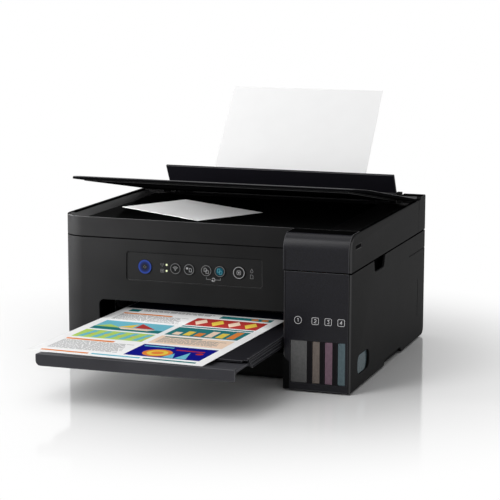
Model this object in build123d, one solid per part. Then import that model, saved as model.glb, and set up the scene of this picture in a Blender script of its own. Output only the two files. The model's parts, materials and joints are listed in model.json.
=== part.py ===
from build123d import *
import math
import os

# Inkjet printer with refillable ink tanks, in millimetres: +X right, +Y back, +Z up.
# Places are given from the middle of the casing; everything shifts by origin_shift at the end.

# Casing
half_width = 187.5
tank_front = -173.5
body_front = -132.5
body_rear = 172.5
rim_z = 181.0
front_seam_z = 157.3
side_seam_z = 139.4
seam_gap = 1.0
wall = 2.5
side_wall = 3.0
corner_r = 30.0
edge_r = 2.0
foot_height = 3.0
foot_r = 9.0
foot_places = [(-150.0, -92.0), (-150.0, 145.0), (160.0, 145.0), (160.0, -150.0)]
pan_top = 5.5
skirt_z = 6.0
tank_bottom_z = 2.0
side_grip_z = 8.5
right_inner = half_width - side_wall
left_inner = -half_width + wall
lower_top = side_seam_z - seam_gap
front_top = front_seam_z - seam_gap
over = 1.0

# Sockets in the rear
inlet_span = (-141.0, -111.0)
inlet_height = (14.0, 38.0)
usb_span = (58.0, 73.0)
usb_height = (13.6, 27.0)
socket_inset = 0.3

# Output slot and tray
slot_left = -136.5
slot_right = 106.0
slot_bottom = 34.0
slot_top = 82.0
slot_corner_r = 6.0
tray_left = -129.0
tray_right = 104.8
tray_rear_front = -282.0
tray_rear_end = -62.0
tray_floor_z = 57.5
tray_rail_top = 60.5
tray_rail_bottom = 47.5
tray_rail = 2.4
tray_plate = 2.2
lip_front = -328.0
lip_thick = 3.2
lip_deep = 11.0
lip_skin = 1.6
lip_bottom = 44.5
lip_top = 58.0
page_slot_x = -135.5
page_turn = -2.3
page_out = 184.0
page_size = (210.0, 297.0)
sheet_thick = 0.3

# Tank unit
tank_left = 107.5
tank_back = -72.0
tank_top = 118.0
tank_wall = 1.5
tank_spans = {
    "black": (112.9, 139.0),
    "yellow": (140.0, 154.0),
    "magenta": (155.0, 169.0),
    "cyan": (170.0, 184.0),
}
window_spans = {
    "black": (116.5, 136.5),
    "yellow": (142.4, 151.6),
    "magenta": (157.1, 166.5),
    "cyan": (172.2, 181.4),
}
window_bottom = 10.5
window_top = 59.7
side_window_y = (-143.0, -93.5)
side_window_z = (16.5, 39.0)
side_window_r = 9.0
tank_cover_r = 18.0
tank_notch_x = 115.6
tank_notch_top = (41.0, 34.0)

# Control panel
panel_span = (-101.0, 69.0)
panel_bottom = 107.8
panel_top = 141.6
panel_thick = 1.8
panel_inset = 0.6
panel_corner_r = 3.5
button_z = 124.7
buttons = {
    "power_button": (-77.5, 8.4),
    "wireless_button": (-38.8, 6.9),
    "network_button": (-21.7, 6.9),
    "mono_copy_button": (-0.2, 6.9),
    "colour_copy_button": (16.6, 6.9),
    "stop_button": (40.3, 7.8),
}
button_proud = 0.5
light_x = -49.9
light_heights = (128.6, 121.4)
light_r = 1.7

# Scanner, lid and their hinges
platen_z = 177.5
frame_low = platen_z - 2.7
glass_span = (-160.0, 142.0)
glass_depth = (-108.0, 112.0)
scanner_rear = 138.0
scanner_axis = (137.0, 179.0)
scanner_ear_x = (150.0, 158.0)
scanner_pin_r = 2.5
scanner_pin_reach = 7.0
scan_rail_at = (0.0, 163.5)
scan_rail_r = 3.0
lid_axis = (127.0, 184.15)
lid_thick = 3.0
lid_edge_r = 1.2
lid_barrel_r = 2.75
lid_span = (-183.0, 187.5)
lid_front = -126.0
lid_corner_r = 26.0
lid_open = 9.9
lid_ear_x = (126.0, 132.0)
lid_pin_r = 1.5

# Rear feeder: the loaded sheet leans back and its lower edge is at feed_foot
feed_lean = 38.0
feed_foot = (79.0, 74.0)
feeder_front = 139.0
feeder_post_x = 116.0
hump_top = 184.5
guard_axis = (148.5, 186.0)
guard_half = 155.5
guard_lean = 30.0
guard_length = 30.5
guard_thick = 3.0
guard_pin_r = 1.5

# Paper drive: places are (y, z) of each axis
feed_at = (25.0, 72.0)
eject_at = (-35.0, 72.0)
roller_r = 8.0
pinch_r = 5.0
pickup_r = 16.0
feed_shaft_r = 4.0
eject_shaft_r = 3.0
pinch_shaft_r = 1.5
pin_r = 2.0
shaft_ends = (-156.0, 181.0)
left_plate = (-153.5, -152.0)
right_plate = (176.0, 177.5)
gear_span = (-150.5, -144.5)
pinch_arm_x = (-126.0, 116.0)
gear_module = 1.0
feed_teeth = 36
eject_idler_teeth = 24
pinion_teeth = 12
pickup_idler_teeth = 25
pinion_direction = -10.0
fit_gap = 0.05

# Carriage
carriage_x = 138.0
carriage_half = 32.0
carriage_depth = (-28.0, 46.0)
carriage_top = 126.0
head_low = 81.4
head_high = 84.5
carriage_shaft_r = 4.0
shaft_at = (40.0, 118.0)
pulley_z = 138.0
pulley_x = (-136.0, 166.0)
belt_r = 8.0
belt_thick = 1.5
belt_span = (43.0, 49.0)
rail_span = (50.0, 51.5)
front_beam_y = -47.8
chassis_rear = 100.0
chassis_top = 150.0
platen_span = (-140.0, 112.6)
platen_depth = (-22.0, 10.0)

# Solids by node name; a list is a group of like solids that shares one node
pieces = {}


def block(x0, x1, y0, y1, z0, z1):
    """Box between two corners."""
    return Pos((x0 + x1) / 2, (y0 + y1) / 2, (z0 + z1) / 2) * Box(x1 - x0, y1 - y0, z1 - z0)


def rod_x(at, radius, x0, x1):
    """Cylinder along X at (y, z)."""
    return Pos((x0 + x1) / 2, at[0], at[1]) * Rot(0, 90, 0) * Cylinder(radius, x1 - x0)


def rod_y(at, radius, y0, y1):
    """Cylinder along Y at (x, z)."""
    return Pos(at[0], (y0 + y1) / 2, at[1]) * Rot(90, 0, 0) * Cylinder(radius, y1 - y0)


def rod_z(at, radius, z0, z1):
    """Cylinder along Z at (x, y)."""
    return Pos(at[0], at[1], (z0 + z1) / 2) * Cylinder(radius, z1 - z0)


def outline(points, radii=None):
    """Polygon with some of its corners rounded, given as {point index: radius}."""
    face = Polygon(*points, align=None)
    for index, radius in (radii or {}).items():
        corner = face.vertices().sort_by_distance((points[index][0], points[index][1], 0))[0]
        face = fillet(corner, radius)
    return face


def slab_x(face, x0, x1):
    """Outline in (y, z) extruded along X."""
    return Pos(x0, 0, 0) * extrude(Plane.YZ * face, amount=x1 - x0, dir=(1, 0, 0))


def slab_y(face, y0, y1):
    """Outline in (x, z) extruded along Y."""
    return Pos(0, y0, 0) * extrude(Plane.XZ * face, amount=y1 - y0, dir=(0, 1, 0))


def slab_z(face, z0, z1):
    """Outline in (x, y) extruded along Z."""
    return Pos(0, 0, z0) * extrude(face, amount=z1 - z0, dir=(0, 0, 1))


def rounded_window(u0, u1, v0, v1, radius):
    """Rectangle with rounded corners, as an outline."""
    return Pos((u0 + u1) / 2, (v0 + v1) / 2) * RectangleRounded(u1 - u0, v1 - v0, radius)


def lean_block(x0, x1, s0, s1, n0, n1):
    """Box along the leaning sheet: s up the sheet from its foot, n forward from its face."""
    lean = Pos(0, feed_foot[0], feed_foot[1]) * Rot(-feed_lean, 0, 0)
    return lean * block(x0, x1, -n1, -n0, s0, s1)


def on_sheet(s, n):
    """(y, z) of a point s up the leaning sheet and n in front of it."""
    lean = math.radians(feed_lean)
    y = feed_foot[0] + s * math.sin(lean) - n * math.cos(lean)
    z = feed_foot[1] + s * math.cos(lean) + n * math.sin(lean)
    return (y, z)


def mirrored(shape):
    """The shape and its mirror image across the middle plane."""
    return shape + mirror(shape, about=Plane.YZ)


def both_sides(x0, x1):
    """A span in X and its mirror image."""
    return ((x0, x1), (-x1, -x0))


def turned(shape, axis_at, degrees):
    """The shape turned about an X axis at (y, z), front up for positive angles."""
    return Pos(0, *axis_at) * Rot(-degrees, 0, 0) * Pos(0, -axis_at[0], -axis_at[1]) * shape


def soft_front_edge(plate, z):
    """The plate of the right-hand side with its upright front edge rounded."""
    edge = plate.edges().filter_by(Axis.Z).sort_by_distance((half_width, tank_front, z))[0]
    return fillet(edge, edge_r)


def front_outline(front, rear, left, right, radius):
    """Plan outline with the rounded front left corner of the casing."""
    return outline([(left, front), (right, front), (right, rear), (left, rear)], {0: radius})


def tank_notch(inset):
    """Outline of the cut-away lower left corner of the tank unit's front, drawn in by inset."""
    left = tank_left + inset
    right = tank_notch_x - inset
    low = tank_bottom_z + inset
    high_left, high_right = tank_notch_top
    points = [(left, low), (right, low), (right, high_right - inset), (left, high_left - inset)]
    return Polygon(*points, align=None)


def base_parts():
    """Floor pan with the tray's runners and the tank unit's dark corner, and the feet."""
    floor = [
        (left_inner, body_front + wall),
        (tank_left + wall, body_front + wall),
        (tank_left + wall, tank_front + wall),
        (right_inner, tank_front + wall),
        (right_inner, body_rear - wall),
        (left_inner, body_rear - wall),
    ]
    pan = slab_z(outline(floor, {0: corner_r - wall}), foot_height, pan_top)
    runner_y = (body_front + wall + 0.5, 60.0)
    runner_gap = 0.5
    runner_wall = 2.4
    runner_reach = 5.0
    shelf_z = (tray_rail_bottom - 3.2, tray_rail_bottom - 0.3)
    for edge, side, runner_top in ((tray_left, -1, tray_floor_z), (tray_right, 1, tray_rail_top + 1.0)):
        inner = edge + side * runner_gap
        upright = sorted((inner, inner + side * runner_wall))
        shelf = sorted((inner, edge - side * runner_reach))
        pan += block(*upright, *runner_y, pan_top, runner_top)
        pan += block(*shelf, *runner_y, *shelf_z)
    notch_gap = 0.3
    upstand_inset = 0.8
    upstand_root = 0.5
    upstand = slab_y(tank_notch(notch_gap), tank_front + upstand_inset, tank_front + wall)
    root_x = (tank_left + wall + notch_gap, tank_notch_x - notch_gap)
    root_y = (tank_front + upstand_inset, tank_front + wall + upstand_root)
    pieces["base_pan"] = pan + upstand + block(*root_x, *root_y, foot_height, pan_top)
    pieces["rubber_feet"] = [rod_z(at, foot_r, 0, foot_height) for at in foot_places]


def panel_face(inset):
    """Outline of the control panel, drawn in by inset."""
    span = (panel_span[0] + inset, panel_span[1] - inset)
    return rounded_window(*span, panel_bottom + inset, panel_top - inset, panel_corner_r - inset / 2)


def front_cover_part(side_start):
    """Front of the casing, round the left corner, with the slot and the panel's seat."""
    jamb_right = 112.5
    seat_ledge = 4.0
    band = [
        (jamb_right, body_front),
        (-half_width, body_front),
        (-half_width, side_start),
        (left_inner, side_start),
        (left_inner, body_front + wall),
        (jamb_right, body_front + wall),
    ]
    front = slab_z(outline(band, {1: corner_r, 4: corner_r - wall}), skirt_z, front_top)
    slot_points = [
        (slot_left, slot_bottom),
        (slot_right, slot_bottom),
        (slot_right, slot_top),
        (slot_left, slot_top),
    ]
    slot = outline(slot_points, {3: slot_corner_r, 0: slot_corner_r})
    through = (body_front - over, body_front + wall + over)
    front -= slab_y(slot, *through)
    front -= slab_y(panel_face(0), body_front - over, body_front + panel_thick)
    front -= slab_y(panel_face(seat_ledge), *through)
    pieces["front_cover"] = front


def left_cover_part(side_start):
    """Left side of the casing, stepped down under the feeder."""
    start = side_start + 0.2
    step = feeder_front - seam_gap
    rear_corner_r = 8.0
    side = [
        (start, skirt_z),
        (body_rear, skirt_z),
        (body_rear, lower_top),
        (step, lower_top),
        (step, front_top),
        (start, front_top),
    ]
    pieces["left_side_cover"] = slab_x(outline(side, {1: rear_corner_r}), -half_width, left_inner)


def right_cover_part():
    """Right side of the casing with the tank's side window, the finger notch and the grip below."""
    grip_y = (-24.5, 58.0)
    grip_slope = (2.5, 5.0)
    rear_corner_r = 10.0
    notch_floor = 124.0
    notch_r = 4.0
    groove_wide = 0.9
    groove_deep = 0.7
    groove_start = 91.0
    groove_z = 115.2
    vent_y = 137.0
    vent_z = (32.0, 79.0)
    side = [
        (tank_front, tank_bottom_z),
        (grip_y[0], tank_bottom_z),
        (grip_y[0] + grip_slope[0], side_grip_z),
        (grip_y[1] - grip_slope[1], side_grip_z),
        (grip_y[1], tank_bottom_z),
        (body_rear, tank_bottom_z),
        (body_rear, lower_top),
        (tank_front, lower_top),
    ]
    cover = slab_x(outline(side, {5: rear_corner_r}), right_inner, half_width)
    cover = soft_front_edge(cover, lower_top / 2)
    through = (right_inner - over, half_width + over)
    side_window = rounded_window(*side_window_y, *side_window_z, side_window_r)
    cover -= slab_x(side_window, *through)
    notch = [
        (-77.0, lower_top + over),
        (-72.0, notch_floor),
        (-32.0, notch_floor),
        (-26.0, lower_top + over),
    ]
    cover -= slab_x(outline(notch, {1: notch_r, 2: notch_r}), *through)
    skin = (half_width - groove_deep, half_width + over)
    cover -= block(*skin, groove_start, body_rear + over, groove_z, groove_z + groove_wide)
    cover -= block(*skin, vent_y, vent_y + groove_wide, *vent_z)
    pieces["right_side_cover"] = cover


def housing_parts():
    """Lower casing: front, sides and rear."""
    side_start = body_front + corner_r + 2.5
    front_cover_part(side_start)
    left_cover_part(side_start)
    right_cover_part()
    rear = block(left_inner, right_inner, body_rear - wall, body_rear, skirt_z, lower_top)
    through = (body_rear - wall - over, body_rear + over)
    rear -= block(*inlet_span, *through, *inlet_height)
    rear -= block(*usb_span, *through, *usb_height)
    pieces["rear_cover"] = rear


def control_parts():
    """Control panel plate, its buttons and its indicator lights."""
    plate_gap = 0.15
    button_gap = 0.3
    flange = 1.2
    flange_thick = 1.4
    cap_edge_r = 0.4
    light_proud = 0.2
    face_y = body_front + panel_inset
    plate = slab_y(panel_face(plate_gap), face_y, body_front + panel_thick)
    through = (body_front - over, body_front + panel_thick + over)
    back = body_front + panel_thick + 0.2
    for name, (x, radius) in buttons.items():
        at = (x, button_z)
        plate -= rod_y(at, radius + button_gap, *through)
        cap = rod_y(at, radius, face_y - button_proud, back)
        rim = cap.edges().filter_by(GeomType.CIRCLE).sort_by(Axis.Y)[0]
        pieces[name] = fillet(rim, cap_edge_r) + rod_y(at, radius + flange, back, back + flange_thick)
    lights = []
    for z in light_heights:
        plate -= rod_y((light_x, z), light_r, *through)
        lights.append(rod_y((light_x, z), light_r, face_y - light_proud, back + flange_thick))
    pieces["control_panel"] = plate
    pieces["indicator_lights"] = lights


def tank_cover_front():
    """Front and left wall of the tank unit, with the four windows."""
    front_corner_r = 4.0
    window_r = 1.0
    notch_open = 0.01
    band = [
        (tank_left, body_front),
        (tank_left, tank_front),
        (right_inner, tank_front),
        (right_inner, tank_front + wall),
        (tank_left + wall, tank_front + wall),
        (tank_left + wall, body_front),
    ]
    cover = slab_z(outline(band, {1: front_corner_r}), tank_bottom_z, lower_top)
    for x0, x1 in window_spans.values():
        window = rounded_window(x0, x1, window_bottom, window_top, window_r)
        cover -= slab_y(window, tank_front - over, tank_front + wall + over)
    pieces["tank_front_cover"] = cover - slab_y(tank_notch(-notch_open), tank_front - over, tank_front + wall)


def tank_parts():
    """Tank unit: front cover, four tanks, their caps and the ink tubes."""
    tank_cover_front()
    pad_inset = 0.8
    pad_gap = 0.3
    side_pad_end = -106.0
    side_pad_inset = 0.9
    side_pad_gap = 0.6
    neck_y = -148.0
    neck_r = 4.0
    neck_wall = 1.2
    neck_height = 6.0
    cap_wall = 2.0
    cap_height = 13.0
    tube_r = 2.0
    tube_end = 34.0
    tube_bend_r = 9.0
    tube_gap = 0.2
    tube_levels = (100.0, 105.0, 110.0, 115.0)
    front = tank_front + wall + 0.2
    run_y = front_beam_y - tube_r - tube_gap
    caps = []
    tubes = []
    for level, (ink, (x0, x1)) in zip(tube_levels, tank_spans.items()):
        middle = (x0 + x1) / 2
        neck = (middle, neck_y)
        pad = (window_spans[ink][0] + pad_gap, window_spans[ink][1] - pad_gap)
        tank = block(x0, x1, front, tank_back, pan_top, tank_top)
        tank += block(*pad, tank_front + pad_inset, front, window_bottom + pad_gap, window_top - pad_gap)
        tank += rod_z(neck, neck_r, tank_top, tank_top + neck_height)
        if ink == "cyan":
            pad_y = (side_window_y[0] + side_pad_gap, side_pad_end)
            pad_z = (side_window_z[0] + side_pad_gap, side_window_z[1] - side_pad_gap)
            side_pad = rounded_window(*pad_y, *pad_z, side_window_r - side_pad_gap)
            tank += slab_x(side_pad, x1, half_width - side_pad_inset)
        inside_x = (x0 + tank_wall, x1 - tank_wall)
        inside_y = (front + tank_wall, tank_back - tank_wall)
        tank -= block(*inside_x, *inside_y, pan_top + tank_wall, tank_top - tank_wall)
        tank -= rod_z(neck, neck_r - neck_wall, tank_top - tank_wall - over, tank_top + neck_height + over)
        pieces["ink_tank_" + ink] = tank
        cap = rod_z(neck, neck_r + cap_wall, tank_top, tank_top + cap_height)
        caps.append(cap - rod_z(neck, neck_r, tank_top - over, tank_top + neck_height))
        start = (middle, tank_back + tube_gap, level)
        path = FilletPolyline(start, (middle, run_y, level), (tube_end, run_y, level), radius=tube_bend_r)
        tubes.append(sweep(Plane(path @ 0, z_dir=path % 0) * Circle(tube_r), path))
    pieces["tank_caps"] = caps
    pieces["ink_tubes"] = tubes


def gear_face(teeth, phase):
    """Outline of a spur gear with straight-sided teeth, one tooth at the phase angle."""
    pitch_r = teeth * gear_module / 2
    root_r = pitch_r - 1.2 * gear_module
    tip_r = pitch_r + 0.8 * gear_module
    root_share = 0.28
    tip_share = 0.11
    step = 2 * math.pi / teeth
    flank = ((-root_share, root_r), (-tip_share, tip_r), (tip_share, tip_r), (root_share, root_r))
    points = []
    for tooth in range(teeth):
        middle = math.radians(phase) + tooth * step
        for share, radius in flank:
            angle = middle + share * step
            points.append((radius * math.cos(angle), radius * math.sin(angle)))
    return Polygon(*points, align=None)


def gear(at, teeth, phase):
    """Spur gear in the drive plane at (y, z)."""
    return Pos(0, *at) * slab_x(gear_face(teeth, phase), *gear_span)


def direction(start, end):
    """Angle in degrees from one axis to another."""
    return math.degrees(math.atan2(end[1] - start[1], end[0] - start[0]))


def mesh_phase(start, end, start_phase, start_teeth, teeth):
    """Phase that sets the second gear's teeth in the gaps of the first."""
    toward = direction(start, end)
    start_step = 360.0 / start_teeth
    share = ((toward - start_phase) % start_step) / start_step
    return toward + 180.0 + (share - 0.5) * 360.0 / teeth


def gear_radius(teeth):
    """Pitch radius of a gear."""
    return teeth * gear_module / 2


def polar(start, distance, degrees):
    """Point at a distance and angle from another."""
    angle = math.radians(degrees)
    return (start[0] + distance * math.cos(angle), start[1] + distance * math.sin(angle))


def meeting_point(first, first_r, second, second_r):
    """Point at the two given distances from two axes, on the lower side."""
    span = math.dist(first, second)
    along = (first_r ** 2 - second_r ** 2 + span ** 2) / (2 * span)
    off = math.sqrt(max(first_r ** 2 - along ** 2, 0.0))
    base = polar(first, along, direction(first, second))
    return polar(base, off, direction(first, second) - 90.0)


# Axes worked out from the gears and the sheet
pickup_s = 25.0
nip_gap = 0.5
pinch_gap = 0.3
pickup_at = on_sheet(pickup_s, pickup_r + nip_gap)
pinion_at = polar(feed_at, gear_radius(feed_teeth + pinion_teeth), pinion_direction)
eject_idler_at = ((feed_at[0] + eject_at[0]) / 2, feed_at[1])
pinion_to_idler = gear_radius(pinion_teeth + pickup_idler_teeth)
idler_to_pickup = gear_radius(pickup_idler_teeth + feed_teeth)
pickup_idler_at = meeting_point(pinion_at, pinion_to_idler, pickup_at, idler_to_pickup)
pinch_at = (feed_at[0], feed_at[1] + roller_r + pinch_r + pinch_gap)


def drive_parts():
    """Rollers, gears and the feed motor."""
    feed_phase = 180.0
    idler_phase = mesh_phase(feed_at, eject_idler_at, feed_phase, feed_teeth, eject_idler_teeth)
    eject_phase = mesh_phase(eject_idler_at, eject_at, idler_phase, eject_idler_teeth, feed_teeth)
    pinion_phase = mesh_phase(feed_at, pinion_at, feed_phase, feed_teeth, pinion_teeth)
    lift_phase = mesh_phase(pinion_at, pickup_idler_at, pinion_phase, pinion_teeth, pickup_idler_teeth)
    pickup_phase = mesh_phase(pickup_idler_at, pickup_at, lift_phase, pickup_idler_teeth, feed_teeth)

    feed_half = 110.0
    feed = rod_x(feed_at, feed_shaft_r, *shaft_ends) + rod_x(feed_at, roller_r, -feed_half, feed_half)
    pieces["feed_roller"] = feed + gear(feed_at, feed_teeth, feed_phase)

    eject_tyre_x = (-96.0, -48.0, 0.0, 48.0, 96.0)
    eject_tyre_half = 7.0
    eject = rod_x(eject_at, eject_shaft_r, *shaft_ends) + gear(eject_at, feed_teeth, eject_phase)
    for x in eject_tyre_x:
        eject += rod_x(eject_at, roller_r, x - eject_tyre_half, x + eject_tyre_half)
    pieces["eject_roller"] = eject

    pickup_half = 30.0
    pickup = rod_x(pickup_at, feed_shaft_r, *shaft_ends)
    pickup += rod_x(pickup_at, pickup_r, -pickup_half, pickup_half)
    pieces["pickup_roller"] = pickup + gear(pickup_at, feed_teeth, pickup_phase)

    pinch_tyre_x = (-90.0, -54.0, -18.0, 18.0, 54.0, 90.0)
    pinch_tyre_half = 9.0
    pinch_end = 2.0
    pinch = rod_x(pinch_at, pinch_shaft_r, pinch_arm_x[0] - pinch_end, pinch_arm_x[1] + pinch_end)
    for x in pinch_tyre_x:
        pinch += rod_x(pinch_at, pinch_r, x - pinch_tyre_half, x + pinch_tyre_half)
    pieces["pinch_rollers"] = pinch

    for name, at, teeth, phase in (
        ("eject_idler_gear", eject_idler_at, eject_idler_teeth, idler_phase),
        ("pickup_idler_gear", pickup_idler_at, pickup_idler_teeth, lift_phase),
    ):
        bore = rod_x(at, pin_r + fit_gap, gear_span[0] - over, gear_span[1] + over)
        pieces[name] = gear(at, teeth, phase) - bore

    motor_shaft_r = 1.5
    motor_shaft_end = -165.0
    motor_r = 14.0
    motor_end = -181.0
    shaft = rod_x(pinion_at, motor_shaft_r, motor_shaft_end, gear_span[0])
    pieces["motor_pinion"] = gear(pinion_at, pinion_teeth, pinion_phase) + shaft
    motor = rod_x(pinion_at, motor_r, motor_end, left_plate[0])
    bore = rod_x(pinion_at, motor_shaft_r + fit_gap, motor_shaft_end - over, left_plate[0] + over)
    pieces["feed_motor"] = motor - bore


def chassis_parts():
    """Sheet metal frame that carries the shafts, and the ribbed platen under the head."""
    rail_low = 100.0
    beam_thick = 1.5
    beam_z = (96.0, 140.0)
    clip_x = (26.0, 34.0)
    clip_deep = 4.4
    clip_top = 121.0
    arm_half = 2.0
    arm_front = pinch_at[0] - 3.5
    arm_z = (pinch_at[1] - 2.5, pinch_at[1] + 5.0)
    idler_pin_end = gear_span[1] + 2.0
    pinion_hole_r = 3.0
    pulley_hole_r = 4.0
    between = (left_plate[1], right_plate[0])
    frame = block(*left_plate, front_beam_y, chassis_rear, pan_top, chassis_top)
    frame += block(*right_plate, front_beam_y, chassis_rear, pan_top, chassis_top)
    frame += block(*between, *rail_span, rail_low, chassis_top)
    frame += block(*between, front_beam_y, front_beam_y + beam_thick, *beam_z)
    frame += block(*clip_x, front_beam_y - clip_deep, front_beam_y, beam_z[0], clip_top)
    for x in pinch_arm_x:
        frame += block(x - arm_half, x + arm_half, arm_front, rail_span[1], *arm_z)
        frame += block(x - arm_half, x + arm_half, *rail_span, pinch_at[1], rail_low)
    pinch_ends = (pinch_arm_x[0] - arm_half - over, pinch_arm_x[1] + arm_half + over)
    frame -= rod_x(pinch_at, pinch_shaft_r + fit_gap, *pinch_ends)
    for at, radius in ((feed_at, feed_shaft_r), (eject_at, eject_shaft_r), (pickup_at, feed_shaft_r)):
        frame -= rod_x(at, radius + fit_gap, left_plate[0] - over, right_plate[1] + over)
    frame -= rod_x(pinion_at, pinion_hole_r, left_plate[0] - over, left_plate[1] + over)
    for at in (eject_idler_at, pickup_idler_at):
        frame += rod_x(at, pin_r, left_plate[1], idler_pin_end)
    frame -= rod_y((pulley_x[0], pulley_z), pulley_hole_r, rail_span[0] - over, rail_span[1] + over)
    frame += rod_y((pulley_x[1], pulley_z), pin_r, belt_span[0] - over, rail_span[0])
    pieces["chassis_frame"] = frame

    platen_low = 66.0
    platen_high = 76.0
    leg_wide = (3.6, 4.4)
    rib_count = 12
    rib_first = -110.0
    rib_step = 20.0
    rib_half = 1.0
    rib_top = 79.2
    inset = 2.0
    leg_y = (platen_depth[0] + inset, platen_depth[1] - inset)
    platen = block(*platen_span, *platen_depth, platen_low, platen_high)
    platen += block(platen_span[0], platen_span[0] + leg_wide[0], *leg_y, pan_top, platen_low)
    platen += block(platen_span[1] - leg_wide[1], platen_span[1], *leg_y, pan_top, platen_low)
    for rib in range(rib_count):
        x = rib_first + rib_step * rib
        platen += block(x - rib_half, x + rib_half, *leg_y, platen_high, rib_top)
    pieces["paper_platen"] = platen


def carriage_parts():
    """Print carriage with its head, shaft, belt, pulleys and motor, and the capping station."""
    x0 = carriage_x - carriage_half
    x1 = carriage_x + carriage_half
    front, rear = carriage_depth
    nose_rear = 8.0
    nose_top = 94.0
    pocket_wall = 3.0
    pocket_floor = 92.0
    side = [
        (front, head_high),
        (nose_rear, head_high),
        (nose_rear, nose_top),
        (rear, nose_top),
        (rear, carriage_top),
        (front, carriage_top),
    ]
    body = slab_x(outline(side, {4: 4.0, 5: 6.0}), x0, x1)
    pocket_x = (x0 + pocket_wall, x1 - pocket_wall)
    pocket_y = (front + pocket_wall, nose_rear - pocket_wall)
    body -= block(*pocket_x, *pocket_y, pocket_floor, carriage_top + over)
    body -= rod_x(shaft_at, carriage_shaft_r + fit_gap, x0 - over, x1 + over)

    grip_half = 8.0
    belt_room = 0.35
    grip_front = belt_span[0] - 1.5
    grip_top = pulley_z - belt_r + 3.0
    run_z = pulley_z - belt_r
    slot_half = belt_thick / 2 + belt_room
    grip = block(carriage_x - grip_half, carriage_x + grip_half, grip_front, rear, carriage_top, grip_top)
    slot_x = (carriage_x - grip_half - over, carriage_x + grip_half + over)
    grip -= block(*slot_x, belt_span[0] - belt_room, rear + over, run_z - slot_half, run_z + slot_half)
    pieces["print_carriage"] = body + grip

    head_half = 24.0
    head_y = (-24.0, 4.0)
    pieces["print_head"] = block(carriage_x - head_half, carriage_x + head_half, *head_y, head_low, head_high)
    pieces["carriage_shaft"] = rod_x(shaft_at, carriage_shaft_r, left_plate[1], right_plate[0])
    belt_drive_parts()

    station_x = (116.0, 168.0)
    station_top = 72.0
    cap_x = (122.0, 162.0)
    cap_y = (-20.0, 6.0)
    cap_top = 80.8
    cap_floor = 76.0
    cap_wall = 2.0
    station = block(*station_x, *platen_depth, pan_top, station_top)
    station += block(*cap_x, *cap_y, station_top, cap_top)
    well_x = (cap_x[0] + cap_wall, cap_x[1] - cap_wall)
    well_y = (cap_y[0] + cap_wall, cap_y[1] - cap_wall)
    pieces["capping_station"] = station - block(*well_x, *well_y, cap_floor, cap_top + over)


def belt_loop(radius):
    """Outline of a loop round the two pulleys."""
    span = pulley_x[1] - pulley_x[0]
    return Pos((pulley_x[0] + pulley_x[1]) / 2, pulley_z) * SlotCenterToCenter(span, 2 * radius)


def belt_drive_parts():
    """Carriage belt, its two pulleys and the carriage motor."""
    belt_gap = 0.3
    motor_r = 13.0
    motor_rear = 78.0
    motor_shaft_rear = 62.0
    shaft_front = belt_span[0] - 2.0
    half_belt = belt_thick / 2
    belt_face = belt_loop(belt_r + half_belt) - belt_loop(belt_r - half_belt)
    pieces["carriage_belt"] = slab_y(belt_face, *belt_span)
    pulley_r = belt_r - half_belt - belt_gap
    motor_at = (pulley_x[0], pulley_z)
    idler_at = (pulley_x[1], pulley_z)
    shaft = rod_y(motor_at, pin_r, shaft_front, motor_shaft_rear)
    pieces["motor_pulley"] = rod_y(motor_at, pulley_r, *belt_span) + shaft
    motor = rod_y(motor_at, motor_r, rail_span[1], motor_rear)
    bore = rod_y(motor_at, pin_r + fit_gap, rail_span[0], motor_shaft_rear + over)
    pieces["carriage_motor"] = motor - bore
    idler_bore = rod_y(idler_at, pin_r + fit_gap, belt_span[0] - over, belt_span[1] + over)
    pieces["idler_pulley"] = rod_y(idler_at, pulley_r, *belt_span) - idler_bore


def electronics_parts():
    """Main board with its port, and the power supply with its mains inlet."""
    board_x = (20.0, 150.0)
    board_y = (96.0, 168.0)
    board_z = (12.0, 13.6)
    chip_top = 16.0
    spacer_inset = 6.0
    spacer_r = 3.0
    board = block(*board_x, *board_y, *board_z)
    for x in (board_x[0] + spacer_inset, board_x[1] - spacer_inset):
        for y in (board_y[0] + spacer_inset, board_y[1] - spacer_inset):
            board += rod_z((x, y), spacer_r, pan_top, board_z[0])
    for chip in ((70.0, 96.0, 115.0, 141.0), (110.0, 130.0, 120.0, 134.0)):
        board += block(*chip, board_z[1], chip_top)
    port_front = 154.0
    port_floor = 158.0
    port_wall = 2.4
    port = block(*usb_span, port_front, body_rear - socket_inset, *usb_height)
    port_x = (usb_span[0] + port_wall, usb_span[1] - port_wall)
    port_z = (usb_height[0] + port_wall, usb_height[1] - port_wall)
    port -= block(*port_x, port_floor, body_rear + over, *port_z)
    pieces["main_board"] = board + port

    supply_x = (-152.0, -34.0)
    supply_front = 104.0
    supply_top = 42.0
    inlet_rim = (3.0, 4.0)
    inlet_r = 7.0
    inlet_deep = 16.0
    contact_r = 1.2
    contact_half = 4.5
    supply = block(*supply_x, supply_front, body_rear - wall, pan_top, supply_top)
    supply += block(*inlet_span, body_rear - wall, body_rear - socket_inset, *inlet_height)
    recess_x = (inlet_span[0] + inlet_rim[0], inlet_span[1] - inlet_rim[0])
    recess_z = (inlet_height[0] + inlet_rim[1], inlet_height[1] - inlet_rim[1])
    supply -= slab_y(rounded_window(*recess_x, *recess_z, inlet_r), body_rear - inlet_deep, body_rear + over)
    inlet_x = sum(inlet_span) / 2
    inlet_z = sum(inlet_height) / 2
    for x in (inlet_x - contact_half, inlet_x + contact_half):
        supply += rod_y((x, inlet_z), contact_r, body_rear - inlet_deep - over, body_rear - inlet_rim[1])
    pieces["power_supply"] = supply


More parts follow.
